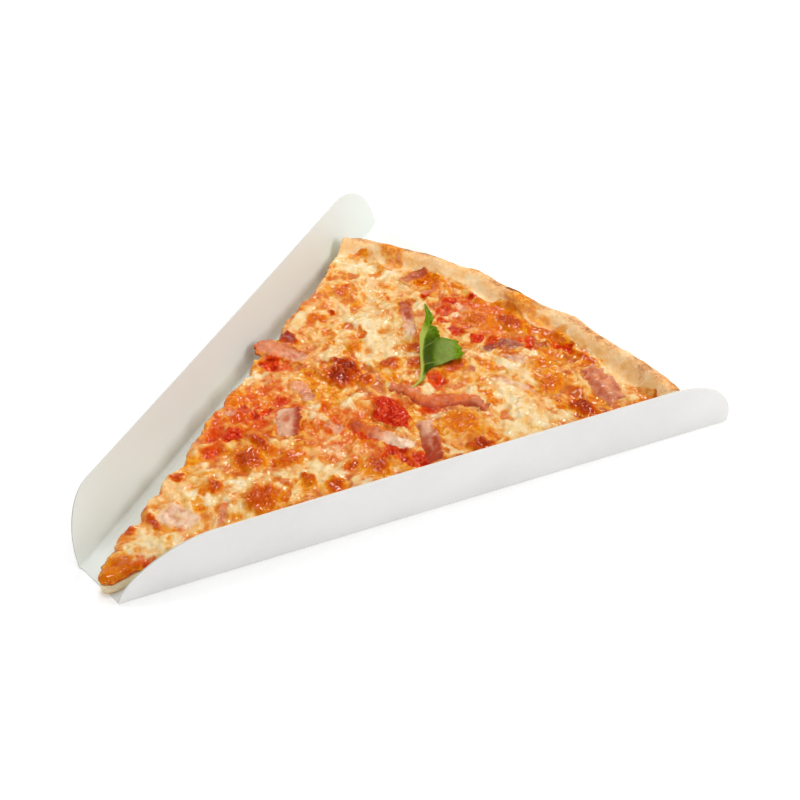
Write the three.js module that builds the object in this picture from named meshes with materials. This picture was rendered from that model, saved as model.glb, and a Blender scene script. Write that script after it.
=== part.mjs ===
// A slice of ham and tomato pizza in the folded card tray that it is sold in.
//
// Millimetres, +Z up. The origin is under the middle of the object, on the surface that
// the tray stands on. The slice, one eighth of a 40 cm pizza, points to -Y, and its
// crust lies at +Y. Its tip hangs a little over the tray's front edge.
// From the bottom up: tray, dough, tomato sauce, cheese, then ham, tomato, onion, leaf.

import * as THREE from 'three';

// ---------- driving dimensions ----------

const DEG = Math.PI / 180;
const GAP = 0.3;                     // room left between pieces that touch

const tray = {
  frontWidth: 21,                    // base at the slice's tip
  rearWidth: 182,                    // base at the crust
  length: 205,
  front: -101.9,                     // where the base starts
  card: 0.5,
  foldRadius: 1.2,
  flare: 10.5 * DEG,                 // walls lean out from upright
  rearCorner: 28,                    // rounded corner by the crust
  // Each wall's height up its slope at both ends, and how it starts at the front.
  left: { frontHeight: 24, rearHeight: 25.8, rise: 16, fullness: 2 },
  right: { frontHeight: 24.3, rearHeight: 26.8, rise: 30, fullness: 1.6 },
};

const slice = {
  point: [1, -103.9],                // where the two cuts would meet
  turn: 1.6 * DEG,                   // the slice lies slightly askew
  cutLeft: 22.1 * DEG,
  cutRight: 23.4 * DEG,
  radius: 203.5,                     // point to the outside of the crust
  growth: 0.28,                      // mm of radius for each degree to the right
  corner: 0.8,                       // taken off the crust's left corner
  tipStart: 1.9,                     // the tip is blunt, and pushed to the right
  tipShift: [4, -1.5],
  tipLength: 13,
};

const dough = { thickness: 3.4, rimTop: 13.2, rimStart: 10.3, rimSide: 5, rimBand: 12.6, rimRound: 6.5 };
const sauce = { thickness: 0.8, inset: 1.2 };
const cheese = { tipLevel: 6.9, level: 9.8, levelLength: 90, spacing: 2.75, edge: 1.3, edgeDrop: 1.7 };

const floorOfDough = tray.card + GAP;
const topOfDough = floorOfDough + dough.thickness;
const floorOfSauce = topOfDough + GAP;
const floorOfCheese = floorOfSauce + sauce.thickness + GAP;

// Notches in the cut edges: distance from the tip, depth and length along the cut.
// Where the depth is negative, the cheese hangs out.
const notches = {
  left: [[20, -1.5, 4], [26, 2, 1.8], [38, 1.2, 3], [52, 1.8, 5], [104, 1.8, 3], [126, 2.2, 2.6], [156, 1.4, 10]],
  right: [[33, 1.4, 5], [67, 1.6, 7], [98, 1.2, 5], [133, 1.8, 12], [160, 1.5, 6]],
};

// Browned blisters: across, from the tip, half width, half length, height.
const blisters = [
  [13.5, 58, 5.2, 6.8, 2.0], [17, 73.5, 4, 4, 1.4], [-3.5, 66.5, 5.5, 5.5, 1.5],
  [-42, 119.5, 5, 3.5, 1.4], [-13, 116, 5.5, 5, 1.9], [-14, 122.5, 4.5, 3, 1.3],
  [-5, 122, 4.5, 4.5, 1.4], [29.5, 93.5, 3.4, 3.4, 1.2], [24.5, 86.5, 3, 3, 1], [36, 129.5, 7, 7, 1.2],
  [61, 165.5, 7, 4, 1.5], [46, 166.5, 4.5, 4.5, 1.1], [-64.5, 176.5, 4, 4, 1.2], [-56.5, 184.5, 4.5, 3.5, 1.2],
  [-50, 155, 3.5, 5, 1.1], [-21, 133.5, 3, 3, 1], [-4, 134, 4, 4, 1.4], [-5.5, 148.5, 3.6, 3.6, 1.3],
  [2.5, 142, 3.6, 3.6, 1.1], [9, 184, 8, 4.5, 1.5], [4, 8, 3, 4, 0.7], [-3, 26.5, 5, 2.5, 0.8],
  [1, 49, 4, 4, 0.7], [50.5, 150.5, 7, 5, 0.9], [-32, 147.5, 8, 5, 0.8], [1, 175.5, 5, 6, 1],
];

// Ham strips: points along the middle (across, from the tip), width and thickness.
const ham = {
  ham_tip: { path: [[-7.5, 30.5], [0, 33.5], [7.5, 36]], width: 6.5, thick: 1.6 },
  ham_sliver: { path: [[5.5, 49], [10, 43.5], [13, 39.5]], width: 3, thick: 1.5 },
  ham_left_low: { path: [[-27.5, 78.5], [-23.5, 75.5]], width: 5, thick: 1.6 },
  ham_middle: { path: [[-13, 92.5], [-7.5, 87], [-1, 81]], width: 8, thick: 2 },
  ham_left_edge: { path: [[-49, 110], [-44, 111], [-37, 113], [-27, 116]], width: 8, thick: 2.1 },
  ham_oval: { path: [[-23, 105], [-16, 103.5], [-9.5, 101]], width: 6, thick: 1.7 },
  ham_small: { path: [[1, 96.5], [5.5, 97.5], [10, 98.5]], width: 5, thick: 1.6 },
  ham_low: { path: [[7, 103.5], [15.5, 104.5], [25.5, 106.5], [33.5, 109]], width: 5, thick: 1.8 },
  ham_ribbon: {
    path: [[3.5, 125], [10.5, 128.5], [18.5, 128.5], [24.5, 134.5], [30, 140.5], [39, 141]], width: 5.6, thick: 2.1,
  },
  ham_right_edge: { path: [[25.5, 120.5], [31.5, 117], [38.5, 112], [43.5, 108]], width: 6.5, thick: 2.1 },
  ham_pale: { path: [[26, 154.5], [35.5, 158], [46.5, 160]], width: 3.6, thick: 1.5 },
  ham_chip: { path: [[16.5, 153], [22, 154]], width: 3.4, thick: 1.6 },
  ham_crust_right: { path: [[48, 182.5], [59, 179.5], [69, 174.8]], width: 9, thick: 2.2 },
  ham_crust_left: { path: [[-34.7, 188], [-35.7, 182], [-36, 175.5]], width: 6, thick: 2.2 },
  ham_curl: { path: [[-28.5, 185.5], [-25, 180.5], [-28, 175]], width: 4, thick: 1.7 },
  ham_fat: { path: [[-29, 166.5], [-23, 163], [-16, 157.5], [-10, 152]], width: 5.4, thick: 1.7 },
};
const paleHam = ['ham_tip', 'ham_pale', 'ham_fat'];

const onion = {
  onion_red: { path: [[13, 164.5], [17.5, 173], [24.5, 178]], width: 3.8, thick: 2 },
  onion_pale: { path: [[20, 166], [25, 170], [31, 172]], width: 5.5, thick: 1.5 },
};

// Tomato lumps: middle, half width, half length, height, turn.
const tomato = {
  tomato_middle: { at: [15.5, 115.5], half: [8.8, 6], height: 3.6, turn: -12 * DEG },
  tomato_left: { at: [-17, 71.5], half: [3.6, 3], height: 1.9, turn: 0 },
  tomato_rear: { at: [7.5, 169.5], half: [2.8, 3.2], height: 2, turn: 10 * DEG },
};

// Parsley leaf, folded along its midrib: the right half lies out flat in three lobes
// (place along the midrib, half length, width), and the left half stands up.
const leaf = {
  stem: [10.8, 135.8], tip: [-15.6, 166.3], lowEnd: 10.9, highEnd: 15, thick: 0.5, standing: 3.4,
  stalk: 7, stalkWidth: 0.7,
  lobes: [[15.3, 6.8, 15.8], [25, 6.5, 7], [33, 8.2, 4.6]],
};

const colours = {
  card: ['#ecebe8', 0.55], dough: ['#e8c79a', 0.75], sauce: ['#c0340f', 0.35],
  cheese: ['#efbb6a', 0.35], ham: ['#d9897a', 0.4], fat: ['#edc3ad', 0.4],
  tomato: ['#c8260f', 0.25], onion: ['#a2617a', 0.35], leaf: ['#4f8a2b', 0.45],
};

// ---------- small helpers ----------

const { clamp, lerp, smoothstep } = THREE.MathUtils;

function material(name) {
  const [color, roughness] = colours[name];
  return new THREE.MeshStandardMaterial({ name, color, roughness, metalness: 0 });
}

function volume(points, faces) {
  const [a, b, c] = [0, 1, 2].map(() => new THREE.Vector3());
  let sum = 0;
  for (const [i, j, k] of faces) {
    a.fromArray(points[i]);
    b.fromArray(points[j]);
    c.fromArray(points[k]);
    sum += a.dot(b.cross(c));
  }
  return sum / 6;
}

// A closed mesh from points and triangles, turned so that its faces look out.
function solid(name, points, faces, colour) {
  const turned = volume(points, faces) < 0 ? faces.map(([i, j, k]) => [i, k, j]) : faces;
  const geometry = new THREE.BufferGeometry();
  geometry.setAttribute('position', new THREE.Float32BufferAttribute(points.flat(), 3));
  geometry.setIndex(turned.flat());
  geometry.computeVertexNormals();
  const mesh = new THREE.Mesh(geometry, material(colour));
  mesh.name = name;
  return mesh;
}

// Two faces of a sheet, each a grid [row][column] of points, closed round their rim.
function sheet(front, back) {
  const rows = front.length;
  const columns = front[0].length;
  const points = [...front.flat(), ...back.flat()];
  const at = (side, i, j) => side * rows * columns + i * columns + j;
  const faces = [];
  const quad = (a, b, c, d) => faces.push([a, b, c], [a, c, d]);
  for (let i = 0; i + 1 < rows; i++) {
    for (let j = 0; j + 1 < columns; j++) {
      quad(at(0, i, j), at(0, i, j + 1), at(0, i + 1, j + 1), at(0, i + 1, j));
      quad(at(1, i, j), at(1, i + 1, j), at(1, i + 1, j + 1), at(1, i, j + 1));
    }
    quad(at(0, i, 0), at(0, i + 1, 0), at(1, i + 1, 0), at(1, i, 0));
    quad(at(0, i + 1, columns - 1), at(0, i, columns - 1), at(1, i, columns - 1), at(1, i + 1, columns - 1));
  }
  for (let j = 0; j + 1 < columns; j++) {
    quad(at(0, 0, j + 1), at(0, 0, j), at(1, 0, j), at(1, 0, j + 1));
    quad(at(0, rows - 1, j), at(0, rows - 1, j + 1), at(1, rows - 1, j + 1), at(1, rows - 1, j));
  }
  return { points, faces };
}

// A slab whose top is a stack of rows of any lengths and whose bottom is flat.
function slab(rows, bottom) {
  const points = rows.flat();
  const first = [];
  rows.reduce((sum, row, i) => { first[i] = sum; return sum + row.length; }, 0);
  const faces = [];
  for (let i = 0; i + 1 < rows.length; i++) {
    const [near, far] = [rows[i].length - 1, rows[i + 1].length - 1];
    for (let a = 0, b = 0; a < near || b < far;) {
      const stepNear = b === far || (a < near && (a + 1) / near <= (b + 1) / far);
      if (stepNear) {
        faces.push([first[i] + a, first[i] + a + 1, first[i + 1] + b]);
        a += 1;
      } else {
        faces.push([first[i] + a, first[i + 1] + b + 1, first[i + 1] + b]);
        b += 1;
      }
    }
  }
  const last = rows.length - 1;
  const rim = [];
  for (let j = 0; j < rows[0].length; j++) rim.push(j);
  for (let i = 1; i < last; i++) rim.push(first[i] + rows[i].length - 1);
  for (let j = rows[last].length - 1; j >= 0; j--) rim.push(first[last] + j);
  for (let i = last - 1; i > 0; i--) rim.push(first[i]);
  const below = points.length;
  rim.forEach((i) => points.push([points[i][0], points[i][1], bottom]));
  rim.forEach((i, k) => {
    const next = (k + 1) % rim.length;
    faces.push([i, below + k, below + next], [i, below + next, rim[next]]);
  });
  const outline = rim.map((i) => new THREE.Vector2(points[i][0], points[i][1]));
  for (const [i, j, k] of THREE.ShapeUtils.triangulateShape(outline, [])) {
    faces.push([below + i, below + k, below + j]);
  }
  return { points, faces };
}

// ---------- tray ----------

// One card, cut with rounded wall ends and folded up along two creases.
function makeTray() {
  const spread = Math.atan2((tray.rearWidth - tray.frontWidth) / 2, tray.length);
  const crease = tray.length / Math.cos(spread);
  const bend = Math.PI / 2 - tray.flare;
  const setback = tray.foldRadius * Math.tan(bend / 2);

  const wallHeight = (t, side) => {
    const full = lerp(side.frontHeight, side.rearHeight, t / crease);
    const ahead = clamp(1 - t / side.rise, 0, 1);
    const front = (1 - ahead ** side.fullness) ** (1 / side.fullness);
    const past = clamp((t - crease + tray.rearCorner) / tray.rearCorner, 0, 1);
    return Math.max(full * Math.min(front, Math.sqrt(1 - past * past)), setback + 0.4);
  };

  // Outwards distance, height and inward normal across the fold and the wall.
  const profile = (height) => {
    const folds = [0, 0.25, 0.5, 0.75, 1].map((f) => {
      const angle = f * bend;
      return [tray.foldRadius * Math.sin(angle) - setback, tray.card / 2 + tray.foldRadius * (1 - Math.cos(angle)), angle];
    });
    const [out, up] = folds.at(-1);
    const run = height - setback;
    folds.push([out + run * Math.sin(tray.flare), up + run * Math.cos(tray.flare), bend]);
    return folds;
  };

  const stations = [];
  const front = 11, middle = 4, rear = 10;
  for (let k = 0; k <= front; k++) stations.push(tray.right.rise * (k / front) ** 2);
  for (let k = 1; k < middle; k++) stations.push(lerp(tray.right.rise, crease - tray.rearCorner, k / middle));
  for (let k = 0; k <= rear; k++) stations.push(crease - tray.rearCorner * (1 - Math.sin((k / rear) * Math.PI / 2)));

  const place = (t, sign, [out, up, angle], offset) => {
    const o = out - offset * Math.sin(angle);
    return [
      sign * (tray.frontWidth / 2 + t * Math.sin(spread) + o * Math.cos(spread)),
      t * Math.cos(spread) - o * Math.sin(spread) + tray.front,
      up + offset * Math.cos(angle),
    ];
  };
  const face = (offset) => stations.map((t) => [
    ...profile(wallHeight(t, tray.left)).reverse().map((p) => place(t, -1, p, offset)),
    ...profile(wallHeight(t, tray.right)).map((p) => place(t, 1, p, offset)),
  ]);
  const { points, faces } = sheet(face(tray.card / 2), face(-tray.card / 2));
  return solid('card_tray', points, faces, 'card');
}

// ---------- outline of the slice, in its own frame: tip at 0, crust at +Y ----------

function crustRadius(angle) {
  const d = angle / DEG;
  const lumps = 0.5 * Math.sin(d * 0.9) - 0.5 * Math.cos(d * 0.45);
  return slice.radius + slice.growth * d + lumps - slice.corner * smoothstep(-d, 19, 23);
}

// A point of the slice at a radius, u = 0 at the left cut to 1 at the right cut.
function onSlice(r, u, pull = 0) {
  const angle = lerp(-slice.cutLeft, slice.cutRight, u);
  const blunt = u * Math.exp(-((r / slice.tipLength) ** 2));
  return [
    r * Math.sin(angle) + pull * Math.cos(angle) + slice.tipShift[0] * blunt,
    r * Math.cos(angle) - pull * Math.sin(angle) + slice.tipShift[1] * blunt,
  ];
}

const angleAt = (u) => lerp(-slice.cutLeft, slice.cutRight, u);

// Where cheese ends and the bare rim starts.
function cheeseRadius(angle) {
  const d = angle / DEG;
  const wander = 1.6 * Math.sin(d * 0.6 + 0.8) + 0.8 * Math.sin(d * 0.95);
  return crustRadius(angle) - dough.rimBand + wander;
}

function cutShift(fromTip, list) {
  let shift = 0.45 * Math.sin(fromTip * 0.43) + 0.4 * Math.sin(fromTip * 0.173 + 1);
  for (const [at, depth, length] of list) shift -= depth * Math.exp(-(((fromTip - at) / length) ** 2));
  return shift * smoothstep(fromTip, 3, 13);
}

function bump(x, y, [cx, cy, rx, ry, height]) {
  const d = ((x - cx) / rx) ** 2 + ((y - cy) / ry) ** 2;
  return d < 1 ? height * (1 - d * d) : 0;
}

// ---------- dough ----------

function rimHeight(angle, f) {
  const away = (1 - f) * (crustRadius(angle) - cheeseRadius(angle));
  const d = angle / DEG;
  const top = dough.rimTop + 0.35 * Math.sin(d * 0.55 + 2) + 0.25 * Math.sin(d * 1.1);
  const round = clamp(away / dough.rimRound, 0, 1);
  if (round < 1) return dough.rimSide + (top - dough.rimSide) * Math.sqrt(1 - (1 - round) ** 2);
  return lerp(top, dough.rimStart, smoothstep(away, dough.rimRound, dough.rimBand));
}

function doughRows() {
  const columns = 46;
  const row = (radius, height) => Array.from({ length: columns + 1 }, (_, j) => {
    const angle = angleAt(j / columns);
    return [...onSlice(radius(angle), j / columns), height(angle)];
  });
  const flat = () => topOfDough;
  const rows = [slice.tipStart, 6, 13, 24, 90].map((r) => row(() => r, flat));
  rows.push(row(cheeseRadius, flat));
  const rim = [0.012, 0.16, 0.32, 0.48, 0.62, 0.74, 0.84, 0.92, 0.97, 1];
  for (const f of rim) {
    rows.push(row((a) => lerp(cheeseRadius(a), crustRadius(a), f), (a) => rimHeight(a, f)));
  }
  return rows;
}

const doughTop = doughRows();

function makeDough() {
  const { points, faces } = slab(doughTop, floorOfDough);
  return solid('dough', points, faces, 'dough');
}

// ---------- sauce ----------

// A thin even layer that stops just inside the cheese's edge, a little ragged.
function makeSauce() {
  const steps = 56;
  const side = (u, list) => Array.from({ length: steps }, (_, k) => {
    const r = lerp(slice.tipStart + 3, cheeseRadius(angleAt(u)) - sauce.inset - GAP, k / (steps - 1));
    const out = 0.5 * cutShift(r, list) - sauce.inset;
    return onSlice(r, u, u === 0 ? -out : out);
  });
  const left = side(0, notches.left);
  const right = side(1, notches.right);
  const arc = Array.from({ length: 30 }, (_, k) => {
    const u = 1 - (k + 1) / 31;
    return onSlice(cheeseRadius(angleAt(u)) - sauce.inset - GAP, u);
  });
  const outline = [...right, ...arc, ...left.reverse()];
  const shape = new THREE.Shape(outline.map(([x, y]) => new THREE.Vector2(x, y)));
  const geometry = new THREE.ExtrudeGeometry(shape, { depth: sauce.thickness, bevelEnabled: false });
  geometry.translate(0, 0, floorOfSauce);
  const mesh = new THREE.Mesh(geometry, material('sauce'));
  mesh.name = 'tomato_sauce';
  return mesh;
}

// ---------- cheese ----------

function distanceToPath(x, y, path) {
  let best = Infinity;
  for (let i = 0; i + 1 < path.length; i++) {
    const [ax, ay] = path[i];
    const [bx, by] = path[i + 1];
    const f = clamp(((x - ax) * (bx - ax) + (y - ay) * (by - ay)) / ((bx - ax) ** 2 + (by - ay) ** 2), 0, 1);
    best = Math.min(best, Math.hypot(x - lerp(ax, bx, f), y - lerp(ay, by, f)));
  }
  return best;
}

// Melted surface: low waves, blisters, and hollows where the toppings have sunk in.
function cheeseHeight(x, y) {
  const level = lerp(cheese.tipLevel, cheese.level, smoothstep(y, 0, cheese.levelLength));
  const waves = 0.42 * Math.sin(x / 3.4 + 1.3 * Math.sin(y / 8.3)) * Math.cos(y / 4.6 + 0.9 * Math.sin(x / 7.1))
    + 0.35 * Math.sin((x - 0.6 * y) / 6.3 + 2 * Math.sin((x + y) / 19));
  let height = level + waves * smoothstep(y, 2, 30);
  for (const blister of blisters) height += bump(x, y, blister);
  for (const { path, width } of [...Object.values(ham), ...Object.values(onion)]) {
    height -= 1.2 * (1 - smoothstep(distanceToPath(x, y, path), width / 2, width / 2 + 2.5));
  }
  for (const { at, half } of Object.values(tomato)) {
    height -= 1.2 * (1 - smoothstep(Math.hypot((x - at[0]) / half[0], (y - at[1]) / half[1]), 0.9, 1.5));
  }
  return height;
}

function cheeseRows() {
  const rows = [];
  const reach = cheeseRadius(0) - 2 * GAP;
  const count = Math.round(reach / cheese.spacing);
  for (let i = 0; i <= count; i++) {
    const f = i / count;
    const radiusAt = (angle) => lerp(slice.tipStart, cheeseRadius(angle) - 2 * GAP, f);
    const width = radiusAt(0) * (slice.cutLeft + slice.cutRight);
    const across = [0, 1];
    const inner = width - 2 * cheese.edge;
    if (inner > cheese.spacing) {
      const columns = Math.round(inner / cheese.spacing);
      across.pop();
      for (let j = 0; j <= columns; j++) across.push((cheese.edge + (inner * j) / columns) / width);
      across.push(1);
    } else if (width > 3) across.splice(1, 0, 0.5);
    rows.push(across.map((u, j) => {
      const r = radiusAt(angleAt(u));
      const pull = cutShift(r, notches.right) * u ** 6 - cutShift(r, notches.left) * (1 - u) ** 6;
      const [x, y] = onSlice(r, u, pull);
      const atEdge = j === 0 || j === across.length - 1 || i === 0;
      const top = cheeseHeight(x, y) - (atEdge ? cheese.edgeDrop : 0);
      return [x, y, Math.max(top, floorOfCheese + 0.6)];
    }));
  }
  return rows;
}

const cheeseTop = cheeseRows();

function makeCheese() {
  const { points, faces } = slab(cheeseTop, floorOfCheese);
  return solid('cheese', points, faces, 'cheese');
}

// Highest cheese or rim within reach of a point, which is what a topping rests on there.
const underfoot = [...cheeseTop, ...doughTop].flat();

function restHeight(x, y, reach) {
  let best = cheese.tipLevel;
  for (const [px, py, pz] of underfoot) {
    if (pz > best && Math.hypot(px - x, py - y) < reach) best = pz;
  }
  return best + GAP;
}

// ---------- toppings ----------

// A limp strip laid along its path on the cheese, thinner towards its ends and edges.
function makeStrip(name, { path, width, thick }, colour) {
  const curve = new THREE.CatmullRomCurve3(path.map(([x, y]) => new THREE.Vector3(x, y, 0)), false, 'centripetal');
  const length = curve.getLength();
  const rows = Math.max(4, Math.round(length / 2.8));
  const columns = 3;
  const [top, bottom] = [[], []];
  for (let i = 0; i <= rows; i++) {
    const f = i / rows;
    const { x, y } = curve.getPointAt(f);
    const along = curve.getTangentAt(f);
    const half = (width / 2) * (0.62 + 0.38 * Math.sqrt(Math.sin(Math.PI * clamp(f, 0.02, 0.98))))
      * (1 + 0.1 * Math.sin(i * 2.4 + width));
    const [upper, lower] = [[], []];
    for (let j = 0; j <= columns; j++) {
      const side = (2 * j) / columns - 1;
      const px = x - along.y * side * half;
      const py = y + along.x * side * half;
      const low = restHeight(px, py, 3.4);
      const curl = 0.3 * Math.max(0, Math.sin(i * 1.7 + side * 2 + length));
      const thin = thick * (1 - 0.25 * side * side) * (0.75 + 0.25 * Math.sin(Math.PI * f));
      lower.push([px, py, low + curl]);
      upper.push([px, py, low + curl + thin]);
    }
    top.push(upper);
    bottom.push(lower);
  }
  const { points, faces } = sheet(top, bottom);
  return solid(name, points, faces, colour);
}

// A low chunk: a blunt many-sided dome over a bottom that follows the cheese.
function makeLump(name, { at, half, height, turn }) {
  const spokes = 16;
  const rings = [[0.45, 1], [0.8, 0.86], [1, 0.45]];
  const outline = (angle) => 1 + 0.1 * Math.cos(4 * angle + 0.6) + 0.05 * Math.sin(3 * angle);
  const local = (angle, f) => {
    const [x, y] = [half[0] * f * outline(angle) * Math.cos(angle), half[1] * f * outline(angle) * Math.sin(angle)];
    return [at[0] + x * Math.cos(turn) - y * Math.sin(turn), at[1] + x * Math.sin(turn) + y * Math.cos(turn)];
  };
  const floor = restHeight(...at, Math.max(...half) + 1.5);
  const points = [[...at, floor + height], [...at, floor]];
  const faces = [];
  for (let s = 0; s < spokes; s++) {
    const angle = (s / spokes) * 2 * Math.PI;
    for (const [f, up] of rings) points.push([...local(angle, f), floor + height * up * (1 + 0.08 * Math.sin(3 * s))]);
    points.push([...local(angle, 0.9), floor]);
    const here = 2 + s * (rings.length + 1);
    const next = 2 + ((s + 1) % spokes) * (rings.length + 1);
    faces.push([0, here, next], [1, next + rings.length, here + rings.length]);
    for (let k = 0; k < rings.length; k++) {
      faces.push([here + k, here + k + 1, next + k + 1], [here + k, next + k + 1, next + k]);
    }
  }
  return solid(name, points, faces, 'tomato');
}

// A thin sheet in rows across the midrib, from the stem end to the tip.
function makeLeaf() {
  const from = new THREE.Vector3(...leaf.stem, leaf.lowEnd);
  const to = new THREE.Vector3(...leaf.tip, leaf.highEnd);
  const length = Math.hypot(to.x - from.x, to.y - from.y);
  const [ax, ay] = [(to.x - from.x) / length, (to.y - from.y) / length];
  const rows = 34;
  const columns = [-1, -0.5, 0, 0.25, 0.5, 0.75, 1];

  const rightWidth = (s) => Math.max(leaf.stalkWidth, ...leaf.lobes.map(([at, half, width]) => {
    const d = Math.abs(s - at) / half;
    return d < 1 ? width * (1 - d ** 2.6) ** 0.6 : 0;
  }));
  const leftWidth = (s) => {
    if (s < leaf.stalk) return leaf.stalkWidth;
    const f = (s - leaf.stalk) / (length - leaf.stalk);
    return leaf.stalkWidth + leaf.standing * Math.sin(Math.PI * clamp(f, 0, 1)) ** 0.6;
  };
  const face = (lift) => Array.from({ length: rows + 1 }, (_, i) => {
    const s = (i / rows) * length;
    const bow = 0.6 * Math.sin((Math.PI * s) / length);
    const z = lerp(from.z, to.z, smoothstep(s, 0, length)) + lift;
    return columns.map((c) => {
      const half = c < 0 ? leftWidth(s) : rightWidth(s);
      const out = c * half;
      const aside = (c < 0 ? 0.45 * out : 0.97 * out) + bow;
      const up = c < 0 ? -0.85 * out : 0.5 * Math.sin(out / 2.6 + s / 4) * Math.min(1, out / 4);
      return [from.x + ax * s + ay * aside, from.y + ay * s - ax * aside, z + up];
    });
  });
  const { points, faces } = sheet(face(leaf.thick), face(0));
  return solid('parsley_leaf', points, faces, 'leaf');
}

// ---------- the object ----------

const pizza = new THREE.Group();
pizza.add(makeDough(), makeSauce(), makeCheese(), makeLeaf());
for (const [name, strip] of Object.entries(ham)) {
  pizza.add(makeStrip(name, strip, paleHam.includes(name) ? 'fat' : 'ham'));
}
for (const [name, strip] of Object.entries(onion)) pizza.add(makeStrip(name, strip, 'onion'));
for (const [name, lump] of Object.entries(tomato)) pizza.add(makeLump(name, lump));
pizza.position.set(...slice.point, 0);
pizza.rotation.z = slice.turn;

const object = new THREE.Group();
object.add(makeTray(), pizza);

export default object;
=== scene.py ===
import math

import bmesh
import bpy
import numpy as np
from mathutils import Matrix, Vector
from mathutils.geometry import tessellate_polygon


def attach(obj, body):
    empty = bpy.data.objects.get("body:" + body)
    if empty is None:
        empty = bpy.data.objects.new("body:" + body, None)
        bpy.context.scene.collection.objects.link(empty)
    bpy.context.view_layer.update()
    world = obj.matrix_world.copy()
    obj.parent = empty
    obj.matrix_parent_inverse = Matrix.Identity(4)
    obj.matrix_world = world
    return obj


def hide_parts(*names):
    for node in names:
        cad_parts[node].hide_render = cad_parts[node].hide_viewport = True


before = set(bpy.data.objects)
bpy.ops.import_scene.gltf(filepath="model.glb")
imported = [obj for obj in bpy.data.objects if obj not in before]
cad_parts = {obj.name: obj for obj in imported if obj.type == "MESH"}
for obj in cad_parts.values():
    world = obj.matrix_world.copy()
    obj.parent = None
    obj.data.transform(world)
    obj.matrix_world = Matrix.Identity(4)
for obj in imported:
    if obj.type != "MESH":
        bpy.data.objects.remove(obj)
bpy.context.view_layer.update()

# A slice of ham and tomato pizza in the card tray that it is sold in, built from the
# tray up. Sizes are millimetres; make_piece turns them to metres.

# ---------- Card tray ----------
# One sheet of white paperboard, die-cut with rounded corners, scored and folded up
# along two creases. Its clay coating is smooth; the cut edges show the pulp.

MM = 0.001
tray = dict(front_width=21, rear_width=182, length=205, front=-101.9, card=0.5, fold_radius=1.2,
            flare=math.radians(10.5), rear_corner=28)
left_wall = dict(front_height=24, rear_height=25.8, rise=16, fullness=2)
right_wall = dict(front_height=24.3, rear_height=26.8, rise=30, fullness=1.6)
wall_bow = 0.35                        # the walls belly in a little between their ends
score_lines = [(2.6, 0.16), (4.3, 0.1)]  # distance from the fold and height of the pressed beads
fold_points, wall_points = 9, 15       # round the fold, and up the wall
end_rows, middle_rows = 26, 40         # along a wall: over each rounded end, and between them


def smoothstep(x, low, high):
    t = np.clip((x - low) / (high - low), 0, 1)
    return t * t * (3 - 2 * t)


def mix(a, b, f):
    return a + (b - a) * f


def srgb(code):
    """A hex colour such as "#ffcc88", as the linear RGBA that a shader socket takes."""
    channels = [int(code[i:i + 2], 16) / 255 for i in (1, 3, 5)]
    return [c / 12.92 if c <= 0.04045 else ((c + 0.055) / 1.055) ** 2.4 for c in channels] + [1]


def add(tree, kind, inputs=(), stops=(), **settings):
    """Adds a node with its settings. An input takes a value, or a node or socket to link."""
    made = tree.nodes.new(kind)
    for key, value in settings.items():
        setattr(made, key, value)
    for i, (place, colour) in enumerate(stops):
        element = made.color_ramp.elements[i] if i < 2 else made.color_ramp.elements.new(place)
        element.position = place
        element.color = srgb(colour)
    for key, value in dict(inputs).items():
        socket = next(s for s in made.inputs if s.enabled and key in (s.name, s.identifier))
        if isinstance(value, bpy.types.Node):
            value = next(s for s in value.outputs if s.enabled)
        if isinstance(value, bpy.types.NodeSocket):
            tree.links.new(value, socket)
        else:
            socket.default_value = value
    return made


def new_material(name):
    """An empty node material: its tree, and the Object coordinates in metres."""
    material = bpy.data.materials.new(name)
    material.use_nodes = True
    material.node_tree.nodes.clear()
    place = add(material.node_tree, "ShaderNodeTexCoord").outputs["Object"]
    return material, material.node_tree, place


def make_piece(name, points, triangles, material, **attributes):
    """A smooth closed mesh, facing outwards, with one number per point for each attribute."""
    mesh = bpy.data.meshes.new(name)
    mesh.vertices.add(len(points))
    mesh.vertices.foreach_set("co", (points * MM).astype(np.float32).ravel())
    mesh.loops.add(triangles.size)
    mesh.loops.foreach_set("vertex_index", triangles.astype(np.int32).ravel())
    mesh.polygons.add(len(triangles))
    mesh.polygons.foreach_set("loop_start", np.arange(0, triangles.size, 3, dtype=np.int32))
    mesh.update(calc_edges=True)
    for key, values in attributes.items():
        layer = mesh.attributes.new(key, "FLOAT", "POINT")
        layer.data.foreach_set("value", np.asarray(values, np.float32).ravel())
    shell = bmesh.new()
    shell.from_mesh(mesh)
    bmesh.ops.recalc_face_normals(shell, faces=shell.faces)
    shell.to_mesh(mesh)
    shell.free()
    mesh.polygons.foreach_set("use_smooth", np.ones(len(triangles), bool))
    mesh.materials.append(material)
    piece = bpy.data.objects.new(name, mesh)
    bpy.context.scene.collection.objects.link(piece)
    return piece


def place_piece(piece, slot, *nodes):
    """The piece rides on the one body, and stands for its CAD nodes."""
    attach(piece, "root")
    if nodes:
        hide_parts(*nodes)


def grid_triangles(ids):
    a, b, c, d = ids[:-1, :-1], ids[:-1, 1:], ids[1:, 1:], ids[1:, :-1]
    halves = [np.stack(corners, -1).reshape(-1, 3) for corners in ((a, b, c), (a, c, d))]
    return np.concatenate(halves)


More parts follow.
